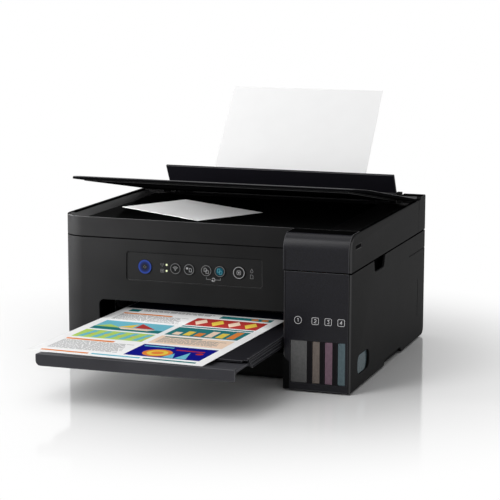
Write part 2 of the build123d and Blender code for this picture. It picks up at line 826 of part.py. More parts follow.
def feeder_housing_part():
    """Fixed rear part of the casing with the bed that the loaded sheet lies on."""
    post_x = (feeder_post_x, half_width)
    post = block(*post_x, feeder_front, body_rear, side_seam_z, rim_z)
    tongue_gap = 0.3
    tongue_top = 168.0
    post += block(*post_x, scanner_rear + tongue_gap, feeder_front, side_seam_z, tongue_top)
    hollow_x = (feeder_post_x + wall, half_width - wall)
    post -= block(*hollow_x, feeder_front + wall, body_rear - wall, side_seam_z - over, rim_z - wall)
    hump_x = 160.0
    hump_front = 146.0
    hump_r = 3.0
    hump = block(hump_x, half_width, hump_front, body_rear, rim_z, hump_top)
    post += fillet(hump.edges().filter_by(Axis.X).group_by(Axis.Z)[-1], hump_r)
    bearing_x = (guard_half + 0.7, guard_half + 6.5)
    bearing_half = 4.0
    bearing_y = (guard_axis[0] - bearing_half, guard_axis[0] + bearing_half)
    post += block(*bearing_x, *bearing_y, rim_z, guard_axis[1] + bearing_half - over)
    guard_bore_x = (bearing_x[0] - over, bearing_x[1] + 2 * over)
    post -= rod_x(guard_axis, guard_pin_r + fit_gap, *guard_bore_x)
    ear_r = 5.0
    ear_z = (scanner_axis[1] - 4.0, scanner_axis[1] + 2.0)
    ear = rod_x(scanner_axis, ear_r, *scanner_ear_x)
    ear += block(*scanner_ear_x, scanner_axis[0], feeder_front, *ear_z)
    pin_room = scanner_pin_reach + over
    pin_x = (scanner_ear_x[0] - pin_room, scanner_ear_x[1] + pin_room)
    pin_gap = 0.3
    post -= rod_x(scanner_axis, scanner_pin_r + pin_gap, *pin_x)
    bearing = post + ear - rod_x(scanner_axis, scanner_pin_r + fit_gap, *pin_x)
    housing = mirrored(bearing)
    ridge_rear = 145.0
    ridge_low = 168.0
    housing += block(-feeder_post_x, feeder_post_x, feeder_front, ridge_rear, ridge_low, rim_z)
    housing += block(-feeder_post_x, feeder_post_x, body_rear - wall, body_rear, side_seam_z, rim_z)
    bed_half = feeder_post_x + over
    bed_s = (2.0, 134.0)
    bed_n = (-2.3, -0.3)
    rail_x = (80.5, 83.5)
    rail_s = (60.0, 118.0)
    rail_n = (-7.5, -5.7)
    rail_hook = 76.0
    housing += lean_block(-bed_half, bed_half, *bed_s, *bed_n)
    housing += mirrored(lean_block(*rail_x, *rail_s, rail_n[0], bed_n[0]))
    housing += mirrored(lean_block(rail_hook, rail_x[1], *rail_s, *rail_n))
    pieces["feeder_housing"] = housing


def feeder_parts():
    """Rear feeder: housing with its bed, guides, support, guard and the loaded sheet."""
    feeder_housing_part()
    half_page = page_size[0] / 2
    guide_x = (half_page + 0.5, half_page + 8.0)
    guide_s = (66.0, 98.0)
    guide_n = (-0.1, 5.0)
    guide = lean_block(*guide_x, *guide_s, *guide_n)
    pieces["edge_guide_right"] = guide
    pieces["edge_guide_left"] = mirror(guide, about=Plane.YZ)
    support_half = 80.0
    support_s = (118.0, 250.0)
    support_n = (-5.3, -2.8)
    pieces["paper_support"] = lean_block(-support_half, support_half, *support_s, *support_n)
    pieces["blank_sheet"] = lean_block(-half_page, half_page, 0.0, page_size[1], 0.0, sheet_thick)

    barrel_r = 2.8
    pin_reach = guard_half + 6.0
    half_thick = guard_thick / 2
    guard = block(-guard_half, guard_half, -half_thick, half_thick, 0.0, guard_length)
    guard += rod_x((0.0, 0.0), barrel_r, -guard_half, guard_half)
    guard += rod_x((0.0, 0.0), guard_pin_r, -pin_reach, pin_reach)
    pieces["feeder_guard"] = Pos(0, *guard_axis) * Rot(guard_lean, 0, 0) * guard


def tray_rear_part():
    """Rear stage of the tray: floor, rails with grooves, and the ledges under the front stage."""
    along = (tray_rear_front, tray_rear_end)
    rear = block(tray_left, tray_right, *along, tray_floor_z - tray_plate, tray_floor_z)
    rail_tops = {tray_left: tray_floor_z, tray_right - tray_rail: tray_rail_top}
    for x0, top in rail_tops.items():
        rear += block(x0, x0 + tray_rail, *along, tray_rail_bottom, top)
    ledge = 5.0
    ledge_z = (49.3, 51.1)
    for x0 in (tray_left + tray_rail, tray_right - tray_rail - ledge):
        rear += block(x0, x0 + ledge, *along, *ledge_z)
    groove_deep = 0.8
    groove_high = 1.4
    groove_skin = (tray_right - groove_deep, tray_right + over)
    for z in (50.4, 54.4, 57.6):
        rear -= block(*groove_skin, tray_rear_front - over, body_front - over, z, z + groove_high)
    end_slant = 13.0
    end = [
        (tray_rear_front - over, tray_rail_bottom - over),
        (tray_rear_front + end_slant, tray_rail_bottom - over),
        (tray_rear_front - over, tray_rail_top),
    ]
    rear -= slab_x(outline(end), tray_right - tray_rail - ledge - over, tray_right + over)
    pieces["tray_rear"] = rear


def tray_front_part():
    """Front stage of the tray, which ends in a hollow lip."""
    side_gap = 0.4
    front_end = -212.0
    front_z = (51.4, 53.6)
    lip_left = tray_left + 1.8
    lip_rear = lip_front + lip_deep
    skin_inset = 1.5
    inner = (tray_left + tray_rail + side_gap, tray_right - tray_rail - side_gap)
    front = block(*inner, lip_front + lip_thick, front_end, *front_z)
    skin_x = (lip_left + skin_inset, tray_right - skin_inset)
    front += block(*skin_x, lip_front + lip_thick, lip_rear, lip_top - lip_skin, lip_top)
    front += block(*skin_x, lip_rear - lip_skin, lip_rear, front_z[0], lip_top)
    lip_points = [
        (lip_left, lip_bottom),
        (tray_right, lip_bottom),
        (tray_right, lip_top),
        (lip_left, lip_top),
    ]
    lip_face = outline(lip_points, {0: 6.0, 1: 2.0, 2: 1.0, 3: 1.5})
    pieces["tray_front"] = front + slab_y(lip_face, lip_front, lip_front + lip_thick)


def tray_parts():
    """Two-stage output tray and the printed sheet lying askew on it."""
    tray_rear_part()
    tray_front_part()
    page_z = lip_top + 0.2
    page = block(0.0, page_size[0], -page_out, page_size[1] - page_out, page_z, page_z + sheet_thick)
    pieces["printed_sheet"] = Pos(page_slot_x, body_front, 0) * Rot(0, 0, page_turn) * page


def scanner_shell_part(inner, ear_room):
    """Lower casing of the scanner unit, with the right-hand cheek and the hinge bosses."""
    floor_top = front_seam_z + 2.2
    outer = front_outline(body_front, scanner_rear, -half_width, right_inner, corner_r)
    shell = slab_z(outer, front_seam_z, rim_z) - slab_z(inner, floor_top, rim_z + over)
    cheek = [
        (tank_front, side_seam_z),
        (scanner_rear, side_seam_z),
        (scanner_rear, rim_z),
        (tank_front, rim_z),
    ]
    cheek_plate = slab_x(outline(cheek, {3: tank_cover_r}), right_inner, half_width)
    shell += soft_front_edge(cheek_plate, (side_seam_z + rim_z) / 2)
    boss_front = 131.5
    boss_low = 172.0
    ear_gap = 1.5
    notch_front = 128.0
    notch_low = 169.5
    for span in both_sides(*ear_room):
        shell += block(*span, boss_front, scanner_rear, boss_low, rim_z)
    for span in both_sides(scanner_ear_x[0] - ear_gap, scanner_ear_x[1] + ear_gap):
        shell -= block(*span, notch_front, scanner_rear + over, notch_low, rim_z + over)
    dimple = rounded_window(-156.5, -131.5, 163.5, 168.5, 2.4)
    dimple_deep = 0.8
    shell -= slab_x(dimple, half_width - dimple_deep, half_width + over)
    return shell


def platen_frame_part(inner, ear_room):
    """Black top frame round the glass, with the bevel at its left and the lid's ears."""
    top = slab_z(inner, frame_low, platen_z)
    bevel_top = rim_z - 0.5
    bevel_right = glass_span[0] - 2.0
    bevel_rear = 124.0
    bevel = Polygon((left_inner, platen_z), (left_inner, bevel_top), (bevel_right, platen_z), align=None)
    top += slab_y(bevel, body_front, bevel_rear) & slab_z(inner, platen_z, rim_z)
    top -= block(*glass_span, *glass_depth, frame_low - over, platen_z + over)
    ear_r = 3.2
    ear = rod_x(lid_axis, ear_r, *lid_ear_x)
    ear += block(*lid_ear_x, lid_axis[0] - ear_r, lid_axis[0] + ear_r, frame_low + over, lid_axis[1])
    top += mirrored(ear)
    room_front = 128.0
    for span in both_sides(*ear_room):
        top -= block(*span, room_front, scanner_rear, frame_low - over, rim_z + over)
    return top


def scanner_parts():
    """Scanner unit: casing, top frame, glass, scan bar, tank cover and hinge pins."""
    inner = front_outline(
        body_front + wall, scanner_rear - wall, left_inner, right_inner - wall, corner_r - wall
    )
    boss = 8.5
    lid_pin_reach = 6.0
    ear_room = (scanner_ear_x[0] - boss, scanner_ear_x[1] + boss)
    shell = scanner_shell_part(inner, ear_room)
    top = platen_frame_part(inner, ear_room)
    pins = []
    for span in both_sides(scanner_ear_x[0] - scanner_pin_reach, scanner_ear_x[1] + scanner_pin_reach):
        pins.append(rod_x(scanner_axis, scanner_pin_r, *span))
        shell -= rod_x(scanner_axis, scanner_pin_r + fit_gap, *span)
    for span in both_sides(lid_ear_x[0] - lid_pin_reach, lid_ear_x[1] + lid_pin_reach):
        pins.append(rod_x(lid_axis, lid_pin_r, *span))
        top -= rod_x(lid_axis, lid_pin_r + fit_gap, *span)
    pieces["scanner_shell"] = shell
    pieces["platen_frame"] = top
    pieces["hinge_pins"] = pins
    pieces["platen_glass"] = block(*glass_span, *glass_depth, frame_low, platen_z)

    bar_x = (-168.0, -150.0)
    bar_y = (-112.0, 116.0)
    bar_z = (165.0, 174.0)
    shoe_half = 8.0
    shoe_low = 160.2
    bar = block(*bar_x, *bar_y, *bar_z) + block(*bar_x, -shoe_half, shoe_half, shoe_low, bar_z[0])
    bore = rod_x(scan_rail_at, scan_rail_r + fit_gap, bar_x[0] - over, bar_x[1] + over)
    pieces["scan_bar"] = bar - bore
    pieces["scan_rail"] = rod_x(scan_rail_at, scan_rail_r, left_inner, right_inner - wall)

    tank_cover_part()
    print_size = (150.0, 102.0)
    print_at = (-62.0, -17.0)
    print_turn = -30.0
    print_z = platen_z + 0.1 + sheet_thick / 2
    pieces["original_sheet"] = Pos(*print_at, print_z) * Rot(0, 0, print_turn) * Box(*print_size, sheet_thick)


def tank_cover_part():
    """Curved cover over the tanks, which lifts with the scanner unit."""
    profile = [
        (tank_front, side_seam_z),
        (tank_front, rim_z),
        (body_front, rim_z),
        (body_front, rim_z - wall),
        (tank_front + wall, rim_z - wall),
        (tank_front + wall, side_seam_z),
    ]
    cover = slab_x(outline(profile, {1: tank_cover_r, 4: tank_cover_r - wall}), tank_left, right_inner)
    end = [
        (tank_front, side_seam_z),
        (tank_front, rim_z),
        (body_front, rim_z),
        (body_front, front_seam_z),
        (body_front - seam_gap, front_seam_z),
        (body_front - seam_gap, side_seam_z),
    ]
    cover += slab_x(outline(end, {1: tank_cover_r}), tank_left, tank_left + wall)
    pieces["tank_cover"] = cover


def lid_parts():
    """Document lid and its pad, standing a little open."""
    low = lid_axis[1] - lid_barrel_r
    high = low + lid_thick
    hinge_y = lid_axis[0]
    plan = [
        (lid_span[0], lid_front),
        (lid_span[1], lid_front),
        (lid_span[1], hinge_y),
        (lid_span[0], hinge_y),
    ]
    panel = slab_z(outline(plan, {0: lid_corner_r, 1: lid_corner_r}), low, high)
    top_edges = panel.faces().sort_by(Axis.Z)[-1].edges().sort_by(Axis.Y)[:-1]
    panel = fillet(top_edges, lid_edge_r)
    panel += rod_x(lid_axis, lid_barrel_r, *lid_span)
    notch_gap = 1.0
    notch_high = 2 * lid_barrel_r + over
    notch_front = 9.5
    notch_rear = 5.0
    pin_room = 6.5
    for span in both_sides(lid_ear_x[0] - notch_gap, lid_ear_x[1] + notch_gap):
        panel -= block(*span, hinge_y - notch_front, hinge_y + notch_rear, low - over, low + notch_high)
    for span in both_sides(lid_ear_x[0] - pin_room, lid_ear_x[1] + pin_room):
        panel -= rod_x(lid_axis, lid_pin_r + fit_gap, *span)
    pieces["lid_panel"] = turned(panel, lid_axis, lid_open)
    pad_half = 165.0
    pad_y = (-112.0, 105.0)
    pad_thick = 2.0
    pad = block(-pad_half, pad_half, *pad_y, low - pad_thick, low)
    pieces["lid_pad"] = turned(pad, lid_axis, lid_open)


base_parts()
housing_parts()
control_parts()
tank_parts()
drive_parts()
chassis_parts()
carriage_parts()
electronics_parts()
feeder_parts()
tray_parts()
scanner_parts()
lid_parts()

# The origin is under the middle of the whole part, tray and loaded sheet included
sheet_top_y = on_sheet(page_size[1], 0.0)[0]
origin_shift = -(lip_front + sheet_top_y) / 2

os.makedirs("parts", exist_ok=True)
for name, piece in pieces.items():
    solids = piece if isinstance(piece, list) else [piece]
    moved = [Pos(0, origin_shift, 0) * solid for solid in solids]
    export_step(Compound(children=moved) if len(moved) > 1 else moved[0], f"parts/{name}.step")
print(len(pieces), "pieces, shift", round(origin_shift, 3))
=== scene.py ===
import json
import math

import bmesh
import bpy
from mathutils import Matrix, Vector

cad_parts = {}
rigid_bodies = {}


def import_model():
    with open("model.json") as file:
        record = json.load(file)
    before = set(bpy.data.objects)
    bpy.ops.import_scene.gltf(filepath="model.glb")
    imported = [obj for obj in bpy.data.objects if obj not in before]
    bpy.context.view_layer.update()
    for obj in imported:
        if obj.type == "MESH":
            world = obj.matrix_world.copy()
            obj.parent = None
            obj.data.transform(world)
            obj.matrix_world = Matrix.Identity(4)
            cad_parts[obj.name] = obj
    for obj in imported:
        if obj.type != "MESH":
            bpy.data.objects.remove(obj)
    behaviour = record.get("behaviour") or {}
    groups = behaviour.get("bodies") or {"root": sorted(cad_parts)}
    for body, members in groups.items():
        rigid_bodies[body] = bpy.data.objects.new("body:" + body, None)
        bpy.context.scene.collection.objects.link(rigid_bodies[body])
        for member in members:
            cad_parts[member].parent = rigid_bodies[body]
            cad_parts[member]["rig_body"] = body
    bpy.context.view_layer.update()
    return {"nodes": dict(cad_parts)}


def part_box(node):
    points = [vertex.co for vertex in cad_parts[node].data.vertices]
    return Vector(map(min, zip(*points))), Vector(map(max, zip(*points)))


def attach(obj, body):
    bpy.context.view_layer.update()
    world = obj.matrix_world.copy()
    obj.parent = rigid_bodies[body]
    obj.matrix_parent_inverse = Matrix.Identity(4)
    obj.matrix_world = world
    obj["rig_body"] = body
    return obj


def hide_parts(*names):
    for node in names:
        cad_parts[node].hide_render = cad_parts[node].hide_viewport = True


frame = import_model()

# Sizes are in millimetres from the middle of the casing, as the part's own dimensions are
MM = 0.001
body_front = -132.5
casing_middle_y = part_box("front_cover")[0].y - body_front * MM
rim_z = 181.0
seam_gap = 1.0
seam_heights = (157.3, 139.4)

# Camera: the angle, distance and lens fitted to the photograph, image taken as 500 x 500
camera_azimuth = 19.064
camera_elevation = 9.599
camera_roll = 0.148
camera_distance = 2.2312
camera_target = (0.00527, 0.04154, 0.12716)
camera_lens = 129.6
sensor = 36.0

# Print, in millimetres: how far each layer of a mark stands off the surface
layer = 0.05


def spot(x, y, z):
    """A place in casing millimetres, in metres in the part's frame."""
    return Vector((x * MM, y * MM + casing_middle_y, z * MM))


def link(obj):
    """Puts a new object in the scene."""
    bpy.context.scene.collection.objects.link(obj)
    return obj


# Materials


def shader(name):
    """A new node material, with its nodes, links and surface shader."""
    material = bpy.data.materials.new(name)
    material.use_nodes = True
    nodes = material.node_tree.nodes
    links = material.node_tree.links
    return material, nodes, links, nodes["Principled BSDF"]


def own_space(nodes):
    """The piece's own coordinates."""
    place = nodes.get("place") or nodes.new("ShaderNodeTexCoord")
    place.name = "place"
    return place.outputs["Object"]


def noise(nodes, links, size_mm, detail=2.0):
    """Noise in the piece's own space with features of about the given size."""
    texture = nodes.new("ShaderNodeTexNoise")
    texture.inputs["Scale"].default_value = 1.0 / (size_mm * MM)
    texture.inputs["Detail"].default_value = detail
    links.new(own_space(nodes), texture.inputs["Vector"])
    return texture.outputs["Fac"]


def spread(nodes, links, value, low, high, start=0.3, end=0.7):
    """Maps a value from one span to another."""
    step = nodes.new("ShaderNodeMapRange")
    step.inputs["From Min"].default_value = start
    step.inputs["From Max"].default_value = end
    step.inputs["To Min"].default_value = low
    step.inputs["To Max"].default_value = high
    links.new(value, step.inputs["Value"])
    return step.outputs["Result"]


def along(nodes, links, axis):
    """One of the piece's own coordinates, in metres."""
    parts = nodes.new("ShaderNodeSeparateXYZ")
    links.new(own_space(nodes), parts.inputs["Vector"])
    return parts.outputs[axis]


def blend_colours(nodes, links, factor, first, second):
    """Mixes two colours, each a tuple or a socket, by a factor socket."""
    mix = nodes.new("ShaderNodeMix")
    mix.data_type = "RGBA"
    links.new(factor, mix.inputs["Factor"])
    for socket, colour in ((mix.inputs[6], first), (mix.inputs[7], second)):
        if isinstance(colour, tuple):
            socket.default_value = (*colour, 1.0)
        else:
            links.new(colour, socket)
    return mix.outputs[2]


def shade(colour, share):
    """A colour made lighter or darker."""
    return tuple(channel * share for channel in colour)


def drift(nodes, links, colour, size_mm=45.0, share=0.1):
    """A colour that wanders a little over the surface."""
    broad = noise(nodes, links, size_mm, 3.0)
    steps = spread(nodes, links, broad, 0.0, 1.0)
    return blend_colours(nodes, links, steps, shade(colour, 1.0 - share), shade(colour, 1.0 + share))


def relief(nodes, links, surface, height, strength, depth_mm=0.06):
    """Bump from a height value."""
    bump = nodes.new("ShaderNodeBump")
    bump.inputs["Strength"].default_value = strength
    bump.inputs["Distance"].default_value = depth_mm * MM
    links.new(height, bump.inputs["Height"])
    links.new(bump.outputs["Normal"], surface.inputs["Normal"])


def plastic(name, colour, roughness, grain=0.45, bump=0.25, specular=0.35, sparkle=0.0):
    """Moulded plastic: fine grain, slow colour drift and, for satin parts, tiny light flecks."""
    material, nodes, links, surface = shader(name)
    fine = noise(nodes, links, grain)
    base = drift(nodes, links, colour)
    if sparkle:
        fleck = spread(nodes, links, noise(nodes, links, 0.7, 0.0), -1.6, 1.0)
        base = blend_colours(nodes, links, fleck, base, shade(colour, 1.0 + sparkle))
    links.new(base, surface.inputs["Base Color"])
    links.new(spread(nodes, links, fine, roughness - 0.06, roughness + 0.06), surface.inputs["Roughness"])
    surface.inputs["Specular IOR Level"].default_value = specular
    relief(nodes, links, surface, fine, bump)
    return material


def metal(name, colour, roughness, grain=0.6):
    """Steel or plated sheet with a fine uneven finish."""
    material, nodes, links, surface = shader(name)
    fine = noise(nodes, links, grain, 4.0)
    links.new(drift(nodes, links, shade(colour, 0.92), 12.0, 0.08), surface.inputs["Base Color"])
    links.new(spread(nodes, links, fine, roughness - 0.08, roughness + 0.08), surface.inputs["Roughness"])
    surface.inputs["Metallic"].default_value = 1.0
    return material


def paper(name, colour):
    """Office paper: faint fibre mottling and a soft tooth."""
    material, nodes, links, surface = shader(name)
    fibre = noise(nodes, links, 0.9, 4.0)
    links.new(drift(nodes, links, colour, 25.0, 0.008), surface.inputs["Base Color"])
    links.new(spread(nodes, links, fibre, 0.72, 0.85), surface.inputs["Roughness"])
    surface.inputs["Specular IOR Level"].default_value = 0.1
    relief(nodes, links, surface, fibre, 0.08, 0.03)
    return material


def print_ink(name, colour, roughness=0.6):
    """Printed colour: dots of slightly uneven density."""
    material, nodes, links, surface = shader(name)
    links.new(drift(nodes, links, colour, 0.8, 0.12), surface.inputs["Base Color"])
    surface.inputs["Roughness"].default_value = roughness
    surface.inputs["Specular IOR Level"].default_value = 0.03
    return material


def ink_window(name, colour, low_x, high_x):
    """Tinted tank wall with a cloudy film of ink, darker over its left part."""
    material, nodes, links, surface = shader(name)
    dark_end = low_x + 0.3 * (high_x - low_x)
    across = spread(nodes, links, along(nodes, links, "X"), 0.0, 1.0, low_x, dark_end)
    film = noise(nodes, links, 3.5, 3.0)
    cloud = spread(nodes, links, film, 0.0, 1.0)
    body = blend_colours(nodes, links, cloud, shade(colour, 0.88), shade(colour, 1.12))
    base = blend_colours(nodes, links, across, shade(colour, 0.68), body)
    links.new(base, surface.inputs["Base Color"])
    links.new(spread(nodes, links, film, 0.26, 0.36), surface.inputs["Roughness"])
    surface.inputs["Specular IOR Level"].default_value = 0.05
    return material


def dark_glass(name):
    """Clear glass over a black well: nearly all that shows is its gloss and a faint film."""
    material, nodes, links, surface = shader(name)
    film = noise(nodes, links, 30.0, 3.0)
    links.new(drift(nodes, links, (0.005, 0.0055, 0.0055)), surface.inputs["Base Color"])
    links.new(spread(nodes, links, film, 0.04, 0.09), surface.inputs["Roughness"])
    surface.inputs["Specular IOR Level"].default_value = 0.0
    surface.inputs["Coat Weight"].default_value = 0.012
    surface.inputs["Coat Roughness"].default_value = 0.05
    return material


def circuit_board(name, top):
    """Green board with lighter tracks, and black components above its face."""
    material, nodes, links, surface = shader(name)
    tracks = nodes.new("ShaderNodeTexBrick")
    tracks.inputs["Scale"].default_value = 160.0
    tracks.inputs["Color1"].default_value = (0.010, 0.085, 0.030, 1.0)
    tracks.inputs["Color2"].default_value = (0.014, 0.110, 0.040, 1.0)
    tracks.inputs["Mortar"].default_value = (0.040, 0.190, 0.080, 1.0)
    links.new(own_space(nodes), tracks.inputs["Vector"])
    raised = spread(nodes, links, along(nodes, links, "Z"), 0.0, 1.0, top, top + 0.2 * MM)
    base = blend_colours(nodes, links, raised, tracks.outputs["Color"], (0.014, 0.014, 0.015))
    links.new(base, surface.inputs["Base Color"])
    links.new(spread(nodes, links, noise(nodes, links, 2.0), 0.3, 0.45), surface.inputs["Roughness"])
    return material


def lit(name, colour, glow, strength):
    """Light-coloured plastic lit from behind."""
    material, nodes, links, surface = shader(name)
    links.new(drift(nodes, links, colour, 0.8, 0.1), surface.inputs["Base Color"])
    links.new(drift(nodes, links, glow, 1.5, 0.08), surface.inputs["Emission Color"])
    surface.inputs["Emission Strength"].default_value = strength
    surface.inputs["Roughness"].default_value = 0.4
    return material


def ring_glow(name, inner, outer, stops):
    """Light ring whose glow is strongest between its edges."""
    material, nodes, links, surface = shader(name)
    length = nodes.new("ShaderNodeVectorMath")
    length.operation = "LENGTH"
    links.new(own_space(nodes), length.inputs[0])
    ramp = nodes.new("ShaderNodeValToRGB")
    ramp.color_ramp.interpolation = "EASE"
    outward = spread(nodes, links, length.outputs["Value"], 0.0, 1.0, inner * MM, outer * MM)
    links.new(outward, ramp.inputs["Fac"])
    points = ramp.color_ramp.elements
    while len(points) < len(stops):
        points.new(0.5)
    for point, (place, colour) in zip(points, stops):
        point.position = place
        point.color = (*colour, 1.0)
    links.new(ramp.outputs["Color"], surface.inputs["Emission Color"])
    surface.inputs["Emission Strength"].default_value = 1.0
    surface.inputs["Base Color"].default_value = (0.010, 0.011, 0.020, 1.0)
    surface.inputs["Roughness"].default_value = 0.45
    surface.inputs["Specular IOR Level"].default_value = 0.1
    return material


board_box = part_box("main_board")
board_thick = 1.7 * MM

casing_black = plastic("casing_black", (0.0098, 0.0098, 0.0100), 0.6, bump=0.03, specular=0.03)
# Painted highlight: a lighter copy of the casing plastic for its rounded edges
casing_edge_highlight = plastic("casing_edge_highlight", (0.058, 0.058, 0.059), 0.5, specular=0.05)
tank_grey = plastic("tank_grey", (0.0028, 0.0027, 0.0046), 0.31, 0.6, 0.3, 0.22, 1.6)
# Painted highlight on the tank's rounded edges
tank_edge_highlight = plastic("tank_edge_highlight", (0.070, 0.070, 0.076), 0.4, specular=0.1)
lid_black = plastic("lid_black", (0.010, 0.010, 0.0115), 0.45, specular=0.12)
# Painted highlight on the lid's round upper edge
lid_edge_highlight = plastic("lid_edge_highlight", (0.075, 0.075, 0.078), 0.45, specular=0.1)
# Painted shade: the lid's underside, front and right side are coloured darker than its top
lid_shade = plastic("lid_shade", (0.004, 0.004, 0.0045), 0.7, specular=0.0)
guard_black = plastic("guard_black", (0.0110, 0.0105, 0.0145), 0.5, specular=0.08)
# Painted highlight on the guard's rounded edges
guard_edge_highlight = plastic("guard_edge_highlight", (0.080, 0.080, 0.083), 0.5, specular=0.05)
tray_grey = plastic("tray_grey", (0.034, 0.034, 0.039), 0.5, specular=0.15)
tray_dark = plastic("tray_dark", (0.009, 0.009, 0.0115), 0.5, specular=0.08)
# Painted highlight on the tray's rounded edges
tray_edge_highlight = plastic("tray_edge_highlight", (0.085, 0.085, 0.092), 0.45, specular=0.1)
panel_black = plastic("panel_black", (0.0112, 0.0112, 0.0114), 0.55, specular=0.03)
# Painted highlight on the panel's right and lower edges
panel_edge_highlight = plastic("panel_edge_highlight", (0.075, 0.075, 0.076), 0.5, specular=0.05)
button_black = plastic("button_black", (0.012, 0.012, 0.0123), 0.5, specular=0.06)
# Painted light: a lighter grey for the slope inside the left rim, where light falls on it
slope_painted_light = plastic("slope_painted_light", (0.066, 0.066, 0.067), 0.55, specular=0.03)
well_black = plastic("well_black", (0.003, 0.003, 0.0032), 0.55, specular=0.05)
pan_black = plastic("pan_black", (0.005, 0.005, 0.0053), 0.65, specular=0.03)
# Painted shade: black for faces in the seams and seam chamfers, on the rim's and tank's flat tops, on upward
# faces and on strips inside the casing
painted_shade_black = plastic("painted_shade_black", (0.0025, 0.0025, 0.0026), 0.8, specular=0.0)
# Painted shade in the side dimple
dimple_shade = plastic("dimple_shade", (0.0075, 0.0075, 0.0077), 0.75, specular=0.0)
# Painted highlight on the lid pad's rounded edges
pad_edge_highlight = plastic("pad_edge_highlight", (0.060, 0.060, 0.061), 0.8, 1.6, 0.6, 0.0)
# Painted shade: the lid pad is coloured near black, as it sits in shade under the lid
pad_foam = plastic("pad_foam", (0.003, 0.003, 0.0033), 0.85, 1.6, 0.6, 0.0)
inner_black = plastic("inner_black", (0.010, 0.010, 0.011), 0.55, specular=0.2)
foot_rubber = plastic("foot_rubber", (0.012, 0.012, 0.012), 0.8, specular=0.1)
roller_rubber = plastic("roller_rubber", (0.045, 0.045, 0.047), 0.75, specular=0.2)
belt_rubber = plastic("belt_rubber", (0.012, 0.012, 0.012), 0.7, 1.2, 0.5, 0.2)
gear_white = plastic("gear_white", (0.62, 0.62, 0.58), 0.45)
cap_grey = plastic("cap_grey", (0.10, 0.10, 0.105), 0.5)
tube_clear = plastic("tube_clear", (0.42, 0.43, 0.44), 0.25, specular=0.5)
zinc = metal("zinc", (0.55, 0.56, 0.56), 0.35)
steel = metal("steel", (0.60, 0.60, 0.61), 0.22)
pin_steel = metal("pin_steel", (0.10, 0.10, 0.105), 0.35)
motor_can = metal("motor_can", (0.42, 0.42, 0.43), 0.38)
nozzle_plate = metal("nozzle_plate", (0.50, 0.46, 0.36), 0.3)
platen_glass = dark_glass("platen_glass")
green_board = circuit_board("green_board", board_box[0].z + board_thick)
light_rim = plastic("light_rim", (0.045, 0.047, 0.040), 0.4, specular=0.1)
led_lit = lit("led_lit", (0.30, 0.32, 0.20), (0.95, 1.00, 0.60), 0.75)
white_paper = paper("white_paper", (0.87, 0.87, 0.87))
glass_paper = paper("glass_paper", (0.86, 0.86, 0.86))

finishes = {
    casing_black: ["front_cover", "left_side_cover", "right_side_cover", "rear_cover", "feeder_housing",
                   "scanner_shell"],
    pan_black: ["base_pan"],
    tank_grey: ["tank_front_cover", "tank_cover"],
    lid_black: ["lid_panel", "paper_support", "edge_guide_left", "edge_guide_right"],
    guard_black: ["feeder_guard"],
    tray_grey: ["tray_front"],
    tray_dark: ["tray_rear"],
    panel_black: ["control_panel"],
    button_black: ["power_button", "wireless_button", "network_button", "mono_copy_button",
                   "colour_copy_button", "stop_button"],
    well_black: ["platen_frame"],
    platen_glass: ["platen_glass"],
    pad_foam: ["lid_pad"],
    inner_black: ["print_carriage", "paper_platen", "capping_station", "scan_bar", "power_supply",
                  "motor_pulley", "idler_pulley"],
    cap_grey: ["tank_caps"],
    belt_rubber: ["carriage_belt"],
    foot_rubber: ["rubber_feet"],
    roller_rubber: ["feed_roller", "eject_roller", "pickup_roller", "pinch_rollers"],
    gear_white: ["motor_pinion", "eject_idler_gear", "pickup_idler_gear"],
    tube_clear: ["ink_tubes"],
    green_board: ["main_board"],
    light_rim: ["indicator_lights"],
    zinc: ["chassis_frame"],
    motor_can: ["feed_motor", "carriage_motor"],
    steel: ["carriage_shaft", "scan_rail"],
    pin_steel: ["hinge_pins"],
    nozzle_plate: ["print_head"],
    white_paper: ["blank_sheet", "printed_sheet"],
    glass_paper: ["original_sheet"],
}
for finish, names in finishes.items():
    for name in names:
        for slot in frame["nodes"][name].material_slots:
            slot.material = finish


# Softened shells


sharp_angle = math.radians(35.0)
flat_angle = math.radians(0.3)
level_drift = 0.05
weld = 0.002
edge_steps = 3


def is_sharp(line):
    """Whether the faces at an edge meet at a clear angle."""
    return line.calc_face_angle(0.0) > sharp_angle


def is_level(line):
    """Whether an edge runs at one height."""
    first, second = line.verts
    return abs(first.co.z - second.co.z) < level_drift * MM


